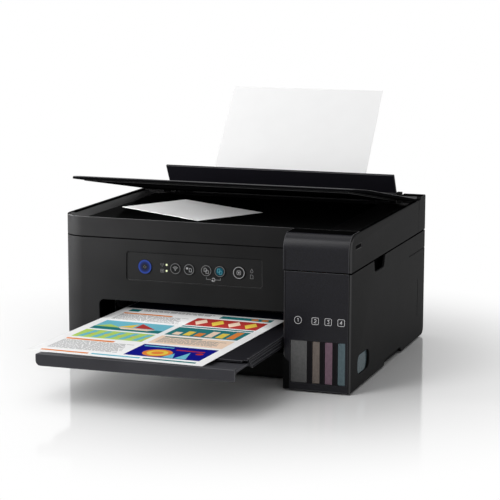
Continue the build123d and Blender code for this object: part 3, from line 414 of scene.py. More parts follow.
def softened(node, width, material, edge=None, other=None, share=None, seam_cut=0.0):
    """A copy of a node with its sharp edges rounded over, standing for it.

    Rounded edges may have a lighter material of their own, a painted highlight. The other test may give a
    face a different material, the share test says how far an edge is rounded, and edges at a seam may be cut
    back in black, as painted shade."""
    source = frame["nodes"][node]
    mesh = bpy.data.meshes.new(node + "_soft")
    bm = bmesh.new()
    bm.from_mesh(source.data)
    bmesh.ops.remove_doubles(bm, verts=bm.verts, dist=weld * MM)
    bmesh.ops.dissolve_limit(bm, angle_limit=flat_angle, verts=bm.verts, edges=bm.edges)
    for face in bm.faces:
        face.material_index = 0
    if seam_cut:
        sharp = [line for line in bm.edges if is_sharp(line)]
        cut = [line for line in sharp if is_level(line) and near_seam(line.verts[0].co.z)]
        # The seam chamfers take the third material: black painted shade
        bmesh.ops.bevel(
            bm, geom=cut, offset=seam_cut * MM, segments=1, profile=0.5, affect="EDGES", clamp_overlap=True,
            material=2,
        )
    bm.verts.index_update()
    corners = [vertex.co[:] for vertex in bm.verts]
    faces = [[vertex.index for vertex in face.verts] for face in bm.faces]
    finish_numbers = [face.material_index for face in bm.faces]
    rounding = {}
    for line in bm.edges:
        if is_sharp(line):
            first, second = line.verts
            middle = (first.co + second.co) / 2.0
            rounding[frozenset((first.index, second.index))] = share(middle) if share else 1.0
    bm.free()
    mesh.from_pydata(corners, [], faces)
    mesh.update()
    mesh.materials.append(material)
    mesh.materials.append(edge or material)
    mesh.materials.append(painted_shade_black)
    mesh.polygons.foreach_set("material_index", finish_numbers)
    for face in mesh.polygons:
        finish = other(face.normal, face.center) if other and not face.material_index else None
        if finish:
            if finish.name not in mesh.materials:
                mesh.materials.append(finish)
            face.material_index = mesh.materials.find(finish.name)
    mesh.shade_smooth()
    weights = mesh.attributes.new("bevel_weight_edge", "FLOAT", "EDGE")
    for line in mesh.edges:
        amount = rounding.get(frozenset(line.vertices))
        if amount:
            weights.data[line.index].value = amount
        elif amount is not None:
            line.use_edge_sharp = True
    piece = link(bpy.data.objects.new(node + "_soft", mesh))
    edges = piece.modifiers.new("soft_edges", "BEVEL")
    edges.width = width * MM
    edges.segments = edge_steps
    edges.limit_method = "WEIGHT"
    edges.use_clamp_overlap = False
    edges.harden_normals = True
    if edge:
        edges.material = 1
    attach(piece, source["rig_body"])
    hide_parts(node)
    return piece


dimple_y = (-157.0, -131.0)
dimple_z = (163.0, 169.0)
dimple_x = 187.0
window_zone = (9.0, 61.0)
right_window_end = 182.0
panel_corner = 3.0
above_seam = 0.8
below_seam = 0.9
level_face = 0.9
rim_reach = 0.3
slope_end = -150.0


def near_seam(z):
    """Whether a height is at an edge of the gap between the upper and lower casing."""
    return any(-above_seam < (height - z / MM) < seam_gap + below_seam for height in seam_heights)


def on_rim(normal, centre):
    """Whether a face is part of the rim's flat top."""
    return normal.z > level_face and abs(centre.z / MM - rim_z) < rim_reach


def in_seam(normal, centre):
    """Whether a face looks into the gap between the upper and lower casing."""
    return abs(normal.z) > level_face and near_seam(centre.z)


def casing_faces(normal, centre):
    """Painted shade in black inside the seams and on the rim's flat top, a painted highlight on the right
    front edge, and painted shade in the dimple.
    """
    # Painted shade in the seams and on the rim's flat top
    if in_seam(normal, centre) or on_rim(normal, centre):
        return painted_shade_black
    # Painted highlight on the rounded right front edge
    if normal.x > 0.2 and normal.y < -0.2 and abs(normal.z) < 0.6:
        return casing_edge_highlight
    # Painted shade in the dimple
    across = (centre.y - casing_middle_y) / MM
    in_dimple = dimple_y[0] < across < dimple_y[1] and dimple_z[0] < centre.z / MM < dimple_z[1]
    if in_dimple and 0.0 < centre.x / MM < dimple_x:
        return dimple_shade
    return None


def tank_faces(normal, centre):
    """Painted shade in black inside the seam and on the flat top."""
    return painted_shade_black if in_seam(normal, centre) or on_rim(normal, centre) else None


def top_faces(normal, centre):
    """Painted shade in black on whatever looks straight up."""
    return painted_shade_black if normal.z > level_face else None


def crisp_seams(middle):
    """Edges at the seams stay sharp."""
    return 0.0 if near_seam(middle.z) else 1.0


def crisp_windows(middle):
    """Edges round the tank windows stay nearly sharp, and the edge at the seam is rounded a little."""
    if near_seam(middle.z):
        return 0.5
    inside = window_zone[0] < middle.z / MM < window_zone[1]
    return 0.2 if inside and middle.x / MM < right_window_end else 1.0


def panel_rim(middle):
    """Only the right and lower edges of the panel's outline are rounded, where they catch the light; their
    lighter edge material is a painted highlight.
    """
    low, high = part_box("control_panel")
    near = min(high.x - middle.x, middle.z - low.z)
    far = min(middle.x - low.x, high.z - middle.z)
    return 1.0 if near < min(far, panel_corner * MM) else 0.0


shells = {}
# Where a row gives an edge material, it is a painted highlight on the rounded edges
for node, width, material, edge, other, share, seam_cut in (
    ("front_cover", 0.7, casing_black, None, casing_faces, crisp_seams, 0.6),
    ("left_side_cover", 0.7, casing_black, None, casing_faces, crisp_seams, 0.6),
    ("right_side_cover", 0.6, casing_black, None, casing_faces, crisp_seams, 0.5),
    ("rear_cover", 0.6, casing_black, None, None, None, 0.0),
    ("feeder_housing", 0.35, casing_black, None, top_faces, crisp_seams, 0.5),
    ("scanner_shell", 0.35, casing_black, casing_edge_highlight, casing_faces, crisp_seams, 0.5),
    ("tank_front_cover", 0.6, tank_grey, tank_edge_highlight, tank_faces, crisp_windows, 0.0),
    ("tank_cover", 0.5, tank_grey, tank_edge_highlight, tank_faces, crisp_seams, 0.5),
    ("feeder_guard", 0.6, guard_black, guard_edge_highlight, None, None, 0.0),
    ("control_panel", 0.4, panel_black, panel_edge_highlight, None, panel_rim, 0.0),
    ("tray_front", 0.6, tray_grey, tray_edge_highlight, None, None, 0.0),
    ("tray_rear", 0.4, tray_dark, tray_edge_highlight, None, None, 0.0),
    ("lid_pad", 0.6, pad_foam, pad_edge_highlight, None, None, 0.0),
):
    shells[node] = softened(node, width, material, edge, other, share, seam_cut)


def painted_shade_strip(name, low, high):
    """A black strip of painted shade inside the casing, between two corners in casing millimetres."""
    start, end = spot(*low), spot(*high)
    bm = bmesh.new()
    bmesh.ops.create_cube(bm, size=1.0)
    for vertex in bm.verts:
        vertex.co = [start[k] + (vertex.co[k] + 0.5) * (end[k] - start[k]) for k in range(3)]
    mesh = bpy.data.meshes.new(name)
    bm.to_mesh(mesh)
    bm.free()
    mesh.materials.append(painted_shade_black)
    return link(bpy.data.objects.new(name, mesh))


def seam_shade_strips():
    """Black strips of painted shade: they close the seams a little way in, and make the dark ledge inside
    the rim and the notch's back.
    """
    reach = 0.9
    front_top = seam_heights[0] - seam_gap
    side_top = seam_heights[1] - seam_gap
    strips = {
        "seam_shade_front": ((-157.0, -131.4, front_top), (107.0, -130.2, front_top + reach), "housing"),
        "seam_shade_right": ((184.7, -31.5, side_top), (186.5, 171.4, side_top + reach), "housing"),
        "seam_shade_tank": ((184.7, -170.0, side_top), (186.5, -72.5, side_top + reach), "housing"),
        "rim_ledge_left": ((-184.9, -100.0, 179.6), (-180.6, 122.0, 180.8), "scanner_unit"),
        "notch_back": ((177.7, -71.6, 117.5), (178.3, 10.0, 138.2), "housing"),
    }
    for name, (low, high, body) in strips.items():
        piece = painted_shade_strip(name, low, high)
        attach(piece, body)


seam_shade_strips()


def dressed(node, pick):
    """A copy of a node, standing for it, on which a test may give a face a different material."""
    source = frame["nodes"][node]
    mesh = source.data.copy()
    mesh.name = node + "_dressed"
    for face in mesh.polygons:
        finish = pick(face.normal, face.center)
        if finish:
            if finish.name not in mesh.materials:
                mesh.materials.append(finish)
            face.material_index = mesh.materials.find(finish.name)
    piece = link(bpy.data.objects.new(node + "_dressed", mesh))
    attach(piece, source["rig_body"])
    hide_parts(node)


def lid_faces(normal, centre):
    """Painted shade in dull black below, at the front and at the right side, and a painted highlight along
    the round upper edge.
    """
    if normal.z < -0.5 or (normal.x > 0.4 and abs(normal.z) < 0.6):
        return lid_shade
    if normal.y < -0.25 and normal.z < 0.95:
        return lid_edge_highlight if normal.z > 0.25 else lid_shade
    return None


def well_faces(normal, centre):
    """Painted light: lighter on the slope inside the left rim."""
    slopes = normal.x > 0.05 and normal.z > 0.3
    return slope_painted_light if slopes and centre.x / MM < slope_end else None


dressed("lid_panel", lid_faces)
dressed("platen_frame", well_faces)

for colour_name, tint in (
    ("black", (0.108, 0.108, 0.108)),
    ("yellow", (0.148, 0.124, 0.110)),
    ("magenta", (0.152, 0.096, 0.126)),
    ("cyan", (0.086, 0.122, 0.136)),
):
    node = "ink_tank_" + colour_name
    low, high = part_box(node)
    window = ink_window(node, tint, low.x, high.x)
    # The windows' rounded edges take a lighter copy of the tint as a painted highlight
    softened(node, 0.8, window, print_ink(node + "_edge", shade(tint, 1.5), 0.4))


# Flat marks: outlines in millimetres across and up, laid on a face as thin solids


def ring(u, v, outer, inner, start=0.0, end=360.0, steps=48):
    """Ring, or an arc of one, as a row of four-sided faces."""
    angles = [math.radians(start + (end - start) * k / steps) for k in range(steps + 1)]
    faces = []
    for a0, a1 in zip(angles, angles[1:]):
        corners = ((inner, a0), (outer, a0), (outer, a1), (inner, a1))
        faces.append([(u + r * math.cos(a), v + r * math.sin(a)) for r, a in corners])
    return faces


def disc(u, v, radius, steps=40):
    """Filled circle."""
    turn = 2.0 * math.pi / steps
    return [[(u + radius * math.cos(k * turn), v + radius * math.sin(k * turn)) for k in range(steps)]]


def bar(u0, v0, u1, v1):
    """Filled rectangle."""
    return [[(u0, v0), (u1, v0), (u1, v1), (u0, v1)]]


def stroke(points, width, closed=False):
    """Line of even width through the points, with mitred corners."""
    spots = [Vector(point) for point in points]
    count = len(spots)
    runs = [(spots[(k + 1) % count] - spots[k]).normalized() for k in range(count)]
    sides = []
    for k, point in enumerate(spots):
        before = runs[k - 1] if closed or k else runs[k]
        after = runs[k] if closed or k < count - 1 else runs[k - 1]
        across = Vector((-before.y - after.y, before.x + after.x)).normalized()
        reach = 0.5 * width / max(0.3, across.dot(Vector((-before.y, before.x))))
        sides.append((tuple(point + across * reach), tuple(point - across * reach)))
    if closed:
        sides.append(sides[0])
    return [[a[0], a[1], b[1], b[0]] for a, b in zip(sides, sides[1:])]


def rounded(u, v, wide, tall, corner, steps=5):
    """Points round a rectangle with round corners, about its middle."""
    points = []
    for quarter, (side, up) in enumerate(((1, 1), (-1, 1), (-1, -1), (1, -1))):
        for k in range(steps + 1):
            angle = math.radians(90.0 * (quarter + k / steps))
            points.append((
                u + side * (wide / 2.0 - corner) + corner * math.cos(angle),
                v + up * (tall / 2.0 - corner) + corner * math.sin(angle),
            ))
    return points


def plate(name, faces, place, material, body, level=0):
    """A thin solid of the given faces, laid on a surface in the given layer, moving with a body."""
    bm = bmesh.new()
    for face in faces:
        bm.faces.new([bm.verts.new((u * MM, v * MM, level * layer * MM)) for u, v in face])
    bmesh.ops.remove_doubles(bm, verts=bm.verts, dist=0.001 * MM)
    grown = bmesh.ops.extrude_face_region(bm, geom=bm.faces[:], use_keep_orig=True)
    upper = [part for part in grown["geom"] if isinstance(part, bmesh.types.BMVert)]
    bmesh.ops.translate(bm, verts=upper, vec=(0.0, 0.0, layer * MM))
    bmesh.ops.recalc_face_normals(bm, faces=bm.faces[:])
    mesh = bpy.data.meshes.new(name)
    bm.to_mesh(mesh)
    bm.free()
    mesh.materials.append(material)
    piece = link(bpy.data.objects.new(name, mesh))
    piece.matrix_world = place
    bpy.context.view_layer.update()
    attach(piece, body)
    return piece


def on_front(x, y, z):
    """Across is to the right and up is up, on a face that looks forward."""
    return Matrix(((1, 0, 0, x), (0, 0, -1, y), (0, 1, 0, z), (0, 0, 0, 1)))


# Control panel marks

mark_grey = print_ink("mark_grey", (0.19, 0.19, 0.195))
mark_pale = print_ink("mark_pale", (0.36, 0.36, 0.37))
mark_teal = print_ink("mark_teal", (0.008, 0.080, 0.120))
mark_sky = print_ink("mark_sky", (0.10, 0.30, 0.36))
power_inner = 2.9
power_outer = 8.35
power_blue = ring_glow("power_blue", power_inner, power_outer, (
    (0.0, (0.003, 0.005, 0.020)),
    (0.36, (0.003, 0.009, 0.068)),
    (0.62, (0.007, 0.024, 0.160)),
    (0.84, (0.020, 0.058, 0.330)),
    (1.0, (0.009, 0.027, 0.170)),
))


def page_outline(u, v, wide, tall):
    """Small sheet with a cut corner."""
    cut = 0.3 * wide
    return [(u, v), (u + wide, v), (u + wide, v + tall - cut), (u + wide - cut, v + tall), (u, v + tall)]


def two_pages(width):
    """Two sheets, one behind the other."""
    faces = []
    for u, v in ((-2.6, -0.9), (-0.2, -3.1)):
        faces += stroke(page_outline(u, v, 3.0, 3.8), width, True)
    return faces


def wave_fan(u, v, reach, width):
    """Dot with arcs spreading from it."""
    faces = disc(u, v, 0.55, 16)
    for k in range(1, 4):
        radius = reach * k / 3.0
        faces += ring(u, v, radius + width / 2.0, radius - width / 2.0, 45.0, 135.0, 14)
    return faces


def button_face(low, high):
    """The middle of a button's front face, from its box."""
    return on_front((low.x + high.x) / 2.0, low.y, (low.z + high.z) / 2.0)


def button_marks():
    """Ring and simple sign on each button."""
    line = 0.55
    fan = wave_fan(0.0, -2.0, 4.2, line)
    page_and_box = bar(-3.6, 0.2, -1.0, 2.4) + stroke(page_outline(0.4, -2.6, 2.8, 4.0), line, True)
    box_and_dot = stroke(rounded(0.0, 0.0, 4.6, 4.6, 1.2), line, True) + bar(-0.9, -0.9, 0.9, 0.9)
    rings = {
        "wireless_button": (6.3, 0.65, mark_grey, fan),
        "network_button": (6.3, 0.65, mark_grey, page_and_box),
        "mono_copy_button": (6.3, 0.65, mark_grey, two_pages(line)),
        "colour_copy_button": (6.3, 0.6, mark_grey, []),
        "stop_button": (7.0, 0.75, mark_pale, box_and_dot),
    }
    spot_radius = 4.6
    for node, (radius, width, ink, sign) in rings.items():
        middle = button_face(*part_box(node))
        body = frame["nodes"][node]["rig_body"]
        plate(node + "_ring", ring(0.0, 0.0, radius, radius - width), middle, ink, body)
        if sign:
            plate(node + "_sign", sign, middle, mark_pale, body)
        else:
            plate(node + "_spot", disc(0.0, 0.0, spot_radius), middle, mark_teal, body)
            plate(node + "_sign", two_pages(line), middle, mark_sky, body, 1)
    middle = button_face(*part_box("power_button"))
    body = frame["nodes"]["power_button"]["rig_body"]
    glow = ring(0.0, 0.0, power_outer, power_inner)
    plate("power_button_ring", glow, middle, power_blue, body)
    sign = ring(0.0, 0.0, 1.75, 1.25, 130.0, 410.0, 24) + bar(-0.25, 0.4, 0.25, 2.3)
    plate("power_button_sign", sign, middle, mark_grey, body)


def panel_marks():
    """Small signs printed on the panel round the buttons."""
    place = on_front(0.0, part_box("control_panel")[0].y, 0.0)
    line = 0.5
    icon_x = -55.6
    antenna = stroke([(icon_x, 125.8), (icon_x, 130.0)], line)
    for start in (-40.0, 140.0):
        antenna += ring(icon_x, 129.0, 2.1, 1.6, start, start + 80.0, 10)
    screen = stroke(rounded(icon_x, 121.2, 4.0, 3.6, 0.8), line, True)
    screen += bar(icon_x - 0.9, 120.4, icon_x + 0.9, 122.0)
    light_x = 56.0
    drop = stroke([
        (light_x, 130.0), (light_x + 1.6, 127.2), (light_x + 1.2, 125.9), (light_x, 125.3),
        (light_x - 1.2, 125.9), (light_x - 1.6, 127.2),
    ], line, True)
    sheet = stroke(page_outline(light_x - 1.7, 118.6, 3.4, 4.4), line, True)
    plate("panel_signs", antenna + screen + drop + sheet, place, mark_grey, "housing")
    left, right, foot, rise = 0.0, 17.4, 114.4, 2.4
    run = 5.6
    bracket_line = 0.6
    bracket = stroke([(left, foot + rise), (left, foot), (left + run, foot)], bracket_line)
    bracket += stroke([(right - run, foot), (right, foot), (right, foot + rise)], bracket_line)
    plate("copy_bracket", bracket, place, mark_grey, "housing")
    middle = (left + right) / 2.0
    start = ring(middle, foot, 2.3, 1.5, -100.0, 150.0, 24) + disc(middle - 1.2, foot - 1.2, 1.1, 20)
    plate("copy_start_sign", start, place, mark_pale, "housing")


def light_spots():
    """Small bright spot in the middle of each indicator light."""
    low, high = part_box("indicator_lights")
    radius = (high.x - low.x) / 2.0
    bright = disc(0.0, 0.0, 1.2, 24)
    for name, z in (("upper", high.z - radius), ("lower", low.z + radius)):
        place = on_front(low.x + radius, low.y, z)
        plate("indicator_spot_" + name, bright, place, led_lit, "housing")


button_marks()
panel_marks()
light_spots()


# Tank marks: a plain number over each window

mark_white = print_ink("mark_white", (0.58, 0.58, 0.59))
rib_black = print_ink("rib_black", (0.0095, 0.0088, 0.0100))
digits = {
    1: [(-0.8, 1.1), (0.2, 2.0), (0.2, -2.0)],
    2: [(-1.2, 1.2), (-0.6, 1.9), (0.6, 1.9), (1.2, 1.2), (1.1, 0.4), (-1.2, -1.9), (1.3, -1.9)],
    3: [(-1.2, 1.9), (1.1, 1.9), (0.0, 0.5), (0.8, 0.3), (1.2, -0.6), (0.8, -1.6), (0.0, -1.95),
        (-1.2, -1.5)],
    4: [(0.6, -2.0), (0.6, 2.0), (-1.3, -0.9), (1.4, -0.9)],
}
mark_x = {1: 125.6, 2: 145.9, 3: 161.1, 4: 176.3}
mark_z = 83.0
mark_line = 0.5
mark_ring = 4.5
mark_frame = 7.8
mark_corner = 1.4
rib_spans = ((136.6, 142.3), (151.7, 157.0), (166.6, 172.1))
rib_foot = 10.5
rib_top = 59.7
joint_x = (109.7, 110.5)
joint_foot = 42.0
joint_top = 163.0
joint_gap = 0.6


def tank_marks():
    """A ring round the first number and a round-cornered frame round the others."""
    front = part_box("tank_front_cover")[0].y
    for number, x in mark_x.items():
        if number == 1:
            faces = ring(0.0, 0.0, mark_ring, mark_ring - mark_line)
        else:
            faces = stroke(rounded(0.0, 0.0, mark_frame, mark_frame, mark_corner), mark_line, True)
        faces += stroke(digits[number], mark_line)
        place = on_front(x * MM, front, mark_z * MM)
        plate(f"tank_mark_{number}", faces, place, mark_white, "housing")


def tank_lines():
    """Dark ribs between the windows, and the joint line beside the tank's left wall."""
    place = on_front(0.0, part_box("tank_front_cover")[0].y, 0.0)
    ribs = []
    for left, right in rib_spans:
        ribs += bar(left, rib_foot, right, rib_top)
    plate("window_ribs", ribs, place, rib_black, "housing")
    seam_top = seam_heights[1]
    lower = bar(joint_x[0], joint_foot, joint_x[1], seam_top - seam_gap - joint_gap)
    plate("tank_joint_lower", lower, place, rib_black, "housing")
    upper = bar(joint_x[0], seam_top, joint_x[1], joint_top)
    plate("tank_joint_upper", upper, place, rib_black, "scanner_unit")


tank_marks()
tank_lines()


# Printed page: blocks of colour, plain shapes and rows of grey words. Columns are across and rows up the
# sheet from its front left corner

left_column = (12.0, 100.0)
right_column = (108.0, 198.0)
foot_row = (8.0, 13.0)
sun_row = (20.0, 76.0)
stripe_row = (84.0, 124.0)
chart_row = (130.0, 174.0)
boat_row = (130.0, 178.0)
kite_row = (188.0, 229.0)
title_row = (236.0, 250.0)
# The last row is a dark band laid as print, painted shade for the part of the page inside the slot
slot_shade_row = (256.0, 296.4)
teal = print_ink("ink_teal", (0.010, 0.170, 0.180))
orange = print_ink("ink_orange", (0.720, 0.220, 0.040))
deep_blue = print_ink("ink_deep_blue", (0.002, 0.004, 0.200))
sky = print_ink("ink_sky", (0.150, 0.480, 0.600))
leaf = print_ink("ink_leaf", (0.430, 0.620, 0.130))
cream = print_ink("ink_cream", (0.840, 0.640, 0.490))
red = print_ink("ink_red", (0.420, 0.030, 0.025))
yellow = print_ink("ink_yellow", (0.760, 0.560, 0.070))
words_grey = print_ink("ink_words", (0.250, 0.250, 0.255))
# Near-black ink for the painted shade of the slot
slot_shade_ink = print_ink("ink_slot_shade", (0.004, 0.006, 0.012))


def page_place():
    """Across and up the printed sheet from its front left corner, on its top face."""
    corners = [vertex.co.copy() for vertex in frame["nodes"]["printed_sheet"].data.vertices]
    front_left = min(corners, key=lambda corner: corner.x)
    front_right = min(corners, key=lambda corner: corner.y)
    across = Vector((front_right.x - front_left.x, front_right.y - front_left.y, 0.0)).normalized()
    up = Vector((-across.y, across.x, 0.0))
    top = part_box("printed_sheet")[1].z
    place = Matrix.Identity(4)
    for row in range(3):
        place[row][0] = across[row]
        place[row][1] = up[row]
    place[0][3], place[1][3], place[2][3] = front_left.x, front_left.y, top
    return place


def words(u0, u1, v0, v1, pitch=3.1, tall=1.3):
    """Rows of short grey bars of uneven length, as words in lines."""
    faces = []
    rows = int((v1 - v0) / pitch)
    for row in range(rows):
        v = v1 - tall - row * pitch
        u = u0
        word = 0
        line_end = u1 - (row * 7 % 5) * 2.2
        while u < line_end - 4.0:
            long = min(3.0 + (row * 5 + word * 7) % 6 * 1.3, line_end - u)
            faces += bar(u, v, u + long, v + tall)
            u += long + 1.2
            word += 1
    return faces


def block(column, row):
    """Filled rectangle over a column and a row of the page."""
    return bar(column[0], row[0], column[1], row[1])


def page_blocks(lay):
    """Bars, blocks of colour and rows of words, straight on the paper."""
    sun_head = (69.0, 75.5)
    chart_head = (178.0, 183.5)
    kite_head = (222.0, 228.0)
    left, right = left_column[0], right_column[1]
    bars = block((left, 70.0), foot_row) + block((left, 72.0), sun_head) + block((left, 76.0), kite_head)
    lay("orange_bars", bars, orange)
    lay("sky_bars", block((74.0, 132.0), foot_row), sky)
    bars = block((136.0, right), foot_row) + block(right_column, chart_head)
    bars += block((left, left + 14.0), title_row) + block(right_column, chart_row)
    lay("teal_blocks", bars + block((right_column[0] + 24.0, right), title_row), teal)
    lay("deep_blue_block", block(right_column, sun_row), deep_blue)
    lay("leaf_block", block(left_column, stripe_row), leaf)
    lay("cream_block", block(right_column, stripe_row), cream)
    lay("sea_block", block(left_column, boat_row), sky)
    lay("red_block", block(right_column, kite_row), red)
    # Painted shade: a full-width dark band at the head of the page, inside the slot
    lay("night_block", block((0.6, 209.4), slot_shade_row), slot_shade_ink)
    lines = words(*left_column, 21.0, 66.0) + words(*left_column, 184.0, 220.0)
    lines += words(left + 18.0, right_column[0] + 18.0, 237.0, 250.0, 5.0, 2.6)
    lay("words", lines, words_grey)
    lay("panel_words", words(right_column[0] + 6.0, right - 6.0, 88.0, 114.0), words_grey, 1)


def page_sun(lay):
    """A ringed sun beside two peaks, on the deep blue block."""
    left = right_column[0]
    u, v = left + 32.0, 40.0
    lay("sun_rings", ring(u, v, 17.0, 12.0, steps=36) + disc(u, v, 7.0, 28), orange, 1)
    lay("sun_inner", ring(u, v, 12.0, 7.0, steps=36), yellow, 1)
    peaks = []
    for k in range(2):
        foot = left + 44.0 + 15.0 * k
        peaks.append([(foot, 22.0), (foot + 14.0, 22.0), (foot + 7.0, 44.0 + 9.0 * k)])
    lay("peaks", peaks + bar(left + 4.0, 66.0, left + 40.0, 70.0), sky, 1)
    lay("peak_caps", bar(left + 46.0, 58.0, left + 80.0, 62.0) + disc(left + 78.0, 50.0, 4.5, 24), red, 1)


def page_stripes(lay):
    """Slanting stripes with a dot between each two, on the leaf green block."""
    pitch = 17.0
    stripes = []
    dots = []
    for k in range(5):
        start = left_column[0] + 6.0 + pitch * k
        stripes.append([(start, 87.0), (start + 7.0, 87.0), (start + 13.0, 121.0), (start + 6.0, 121.0)])
        dots += disc(start + 11.0, 104.0, 2.6, 20)
    lay("stripes", stripes, sky, 1)
    lay("stripe_dots", dots, yellow, 1)


def page_chart(lay):
    """A column chart in three colours, on the teal block."""
    left = right_column[0]
    lay("cream_heading", bar(left + 6.0, 117.0, left + 52.0, 121.0), teal, 1)
    heights = (14.0, 22.0, 18.0, 30.0, 25.0, 36.0)
    inks = (cream, yellow, orange)
    foot = 134.0
    for tone, ink in enumerate(inks):
        columns = []
        for k in range(tone, len(heights), len(inks)):
            start = left + 7.0 + 13.5 * k
            columns += bar(start, foot, start + 9.0, foot + heights[k])
        lay(f"columns_{tone}", columns, ink, 1)


def page_kites(lay):
    """Two dots in the title row and a row of kites on the red block."""
    right = right_column[1]
    lay("teal_dots", disc(right - 22.0, 243.0, 4.5, 28) + disc(right - 9.0, 243.0, 4.5, 28), orange, 1)
    kites = []
    for k in range(4):
        middle = right_column[0] + 13.0 + 21.0 * k
        kites.append([(middle - 8.0, 209.0), (middle, 192.0), (middle + 8.0, 209.0), (middle, 225.0)])
    lay("kites_cream", kites[::2], cream, 1)
    lay("kites_yellow", kites[1::2], yellow, 1)


def page_boat(lay):
    """A sailing boat before hills, on the sea block."""
    left = left_column[0]
    mast = left + 50.0
    lay("sea", block(left_column, (boat_row[0], 144.0)), teal, 1)
    lay("far_hills", [[(left, 144.0), (left + 34.0, 144.0), (left + 15.0, 158.0)]], leaf, 1)
    lay("main_sail", [[(mast, 148.0), (mast + 26.0, 148.0), (mast, 172.0)]], red, 1)
    lay("front_sail", [[(mast - 3.0, 148.0), (mast - 3.0, 168.0), (mast - 21.0, 148.0)]], yellow, 1)
    hull = [(mast - 20.0, 146.0), (mast - 13.0, 138.0), (mast + 20.0, 138.0), (mast + 28.0, 146.0)]
    lay("hull", [hull], cream, 2)


def page_print():
    """The design on the printed sheet, and its pieces."""
    place = page_place()
    pieces = []

    def lay(name, faces, ink, level=0):
        """Prints faces of one colour in a layer."""
        pieces.append(plate("page_" + name, faces, place, ink, "printed_sheet", level))

    for design in (page_blocks, page_sun, page_stripes, page_chart, page_kites, page_boat):
        design(lay)
    return pieces


page_pieces = page_print()


# Stage


def floor_material():
    """White glossy studio floor that runs out into the plain white background."""
    material, nodes, links, surface = shader("studio_floor")
    length = nodes.new("ShaderNodeVectorMath")
    length.operation = "LENGTH"
    links.new(own_space(nodes), length.inputs[0])
    far = nodes.new("ShaderNodeMapRange")
    far.interpolation_type = "SMOOTHSTEP"
    far.inputs["From Min"].default_value = 0.22
    far.inputs["From Max"].default_value = 0.56
    links.new(length.outputs["Value"], far.inputs["Value"])
    grain = noise(nodes, links, 3.0)
    links.new(spread(nodes, links, grain, 0.07, 0.10), surface.inputs["Roughness"])
    surface.inputs["Base Color"].default_value = (0.9, 0.9, 0.9, 1.0)
    surface.inputs["Specular IOR Level"].default_value = 0.5
    white = nodes.new("ShaderNodeEmission")
    mix = nodes.new("ShaderNodeMixShader")
    links.new(far.outputs["Result"], mix.inputs["Fac"])
    links.new(surface.outputs["BSDF"], mix.inputs[1])
    links.new(white.outputs["Emission"], mix.inputs[2])
    links.new(mix.outputs["Shader"], nodes["Material Output"].inputs["Surface"])
    return material


def make_floor():
    """Large flat floor under the feet."""
    half = 6.0
    corners = [(-half, -half, 0.0), (half, -half, 0.0), (half, half, 0.0), (-half, half, 0.0)]
    mesh = bpy.data.meshes.new("studio_floor")
    mesh.from_pydata(corners, [], [(0, 1, 2, 3)])
    mesh.materials.append(floor_material())
    link(bpy.data.objects.new("studio_floor", mesh))


def area_light(name, place, target, size, power):
    """Soft box aimed at a point."""
    lamp = bpy.data.lights.new(name, "AREA")
    lamp.shape = "RECTANGLE"
    lamp.size, lamp.size_y = size
    lamp.energy = power
    obj = link(bpy.data.objects.new(name, lamp))
    obj.location = place
    obj.rotation_euler = (Vector(target) - Vector(place)).to_track_quat("-Z", "Y").to_euler()
    return obj


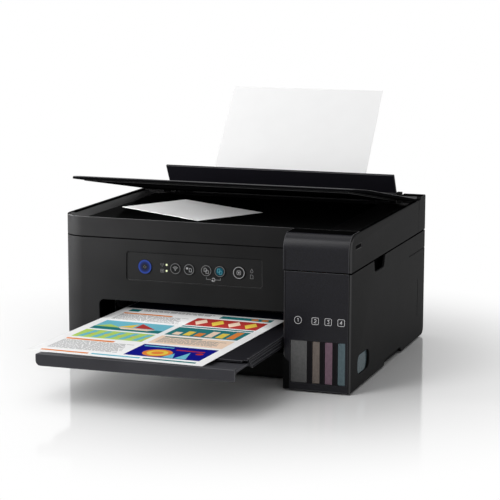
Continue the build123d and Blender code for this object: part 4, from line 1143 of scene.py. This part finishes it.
def make_world():
    """White surround for what the camera and reflections see, and a softer fill for the rest."""
    world = bpy.data.worlds.new("studio")
    bpy.context.scene.world = world
    world.use_nodes = True
    nodes = world.node_tree.nodes
    links = world.node_tree.links
    background = nodes["Background"]
    background.inputs["Color"].default_value = (1.0, 1.0, 1.0, 1.0)
    path = nodes.new("ShaderNodeLightPath")
    seen = nodes.new("ShaderNodeMath")
    seen.operation = "MAXIMUM"
    links.new(path.outputs["Is Camera Ray"], seen.inputs[0])
    links.new(path.outputs["Is Glossy Ray"], seen.inputs[1])
    clear = nodes.new("ShaderNodeMath")
    clear.operation = "MAXIMUM"
    links.new(seen.outputs["Value"], clear.inputs[0])
    links.new(path.outputs["Is Transmission Ray"], clear.inputs[1])
    strength = nodes.new("ShaderNodeMapRange")
    strength.inputs["To Min"].default_value = 0.43
    strength.inputs["To Max"].default_value = 1.0
    links.new(clear.outputs["Value"], strength.inputs["Value"])
    links.new(strength.outputs["Result"], background.inputs["Strength"])


def make_camera():
    """Camera at the photograph's angle."""
    azimuth = math.radians(camera_azimuth)
    elevation = math.radians(camera_elevation)
    back = Vector((
        math.sin(azimuth) * math.cos(elevation),
        -math.cos(azimuth) * math.cos(elevation),
        math.sin(elevation),
    ))
    camera = bpy.data.cameras.new("camera")
    camera.lens = camera_lens
    camera.sensor_width = sensor
    obj = link(bpy.data.objects.new("camera", camera))
    obj.location = Vector(camera_target) + back * camera_distance
    tilt = Matrix.Rotation(math.radians(camera_roll), 3, "Z")
    obj.rotation_euler = ((-back).to_track_quat("-Z", "Y").to_matrix() @ tilt).to_euler()
    bpy.context.scene.camera = obj


def light_only(lamp, pieces):
    """Limits a lamp to some of the pieces."""
    group = bpy.data.collections.new(lamp.name + "_receiver")
    for piece in pieces:
        group.objects.link(piece)
    lamp.light_linking.receiver_collection = group


make_floor()
make_world()
make_camera()
area_light("top_box", place=(0.1, 0.1, 1.7), target=(0.0, 0.0, 0.1), size=(1.6, 1.2), power=3.0)
area_light("front_box", place=(-0.45, -0.95, 1.05), target=(0.1, -0.12, 0.16), size=(0.5, 1.3), power=9.4)
area_light("left_box", place=(-0.95, -0.3, 0.3), target=(-0.15, 0.0, 0.12), size=(0.3, 0.5), power=5.5)
sheet_lamp = area_light(
    "sheet_lamp", place=spot(-520, -190, 265), target=spot(-62, -17, 178), size=(0.08, 0.08), power=6.0
)
light_only(sheet_lamp, [frame["nodes"]["original_sheet"]])
slot_lamp = area_light(
    "slot_lamp", place=spot(-30, -100, 80.5), target=spot(-30, -100, 0), size=(0.2, 0.06), power=0.032
)
light_only(slot_lamp, [frame["nodes"]["printed_sheet"], *page_pieces])
front_lamp = area_light(
    "front_lamp", place=(-0.36, -0.2, 0.24), target=(-0.12, -0.1, 0.16), size=(0.12, 0.16), power=3.9
)
front_shells = ("front_cover", "left_side_cover", "scanner_shell", "control_panel")
light_only(front_lamp, [shells[node] for node in front_shells])
bpy.context.scene.view_settings.view_transform = "Standard"
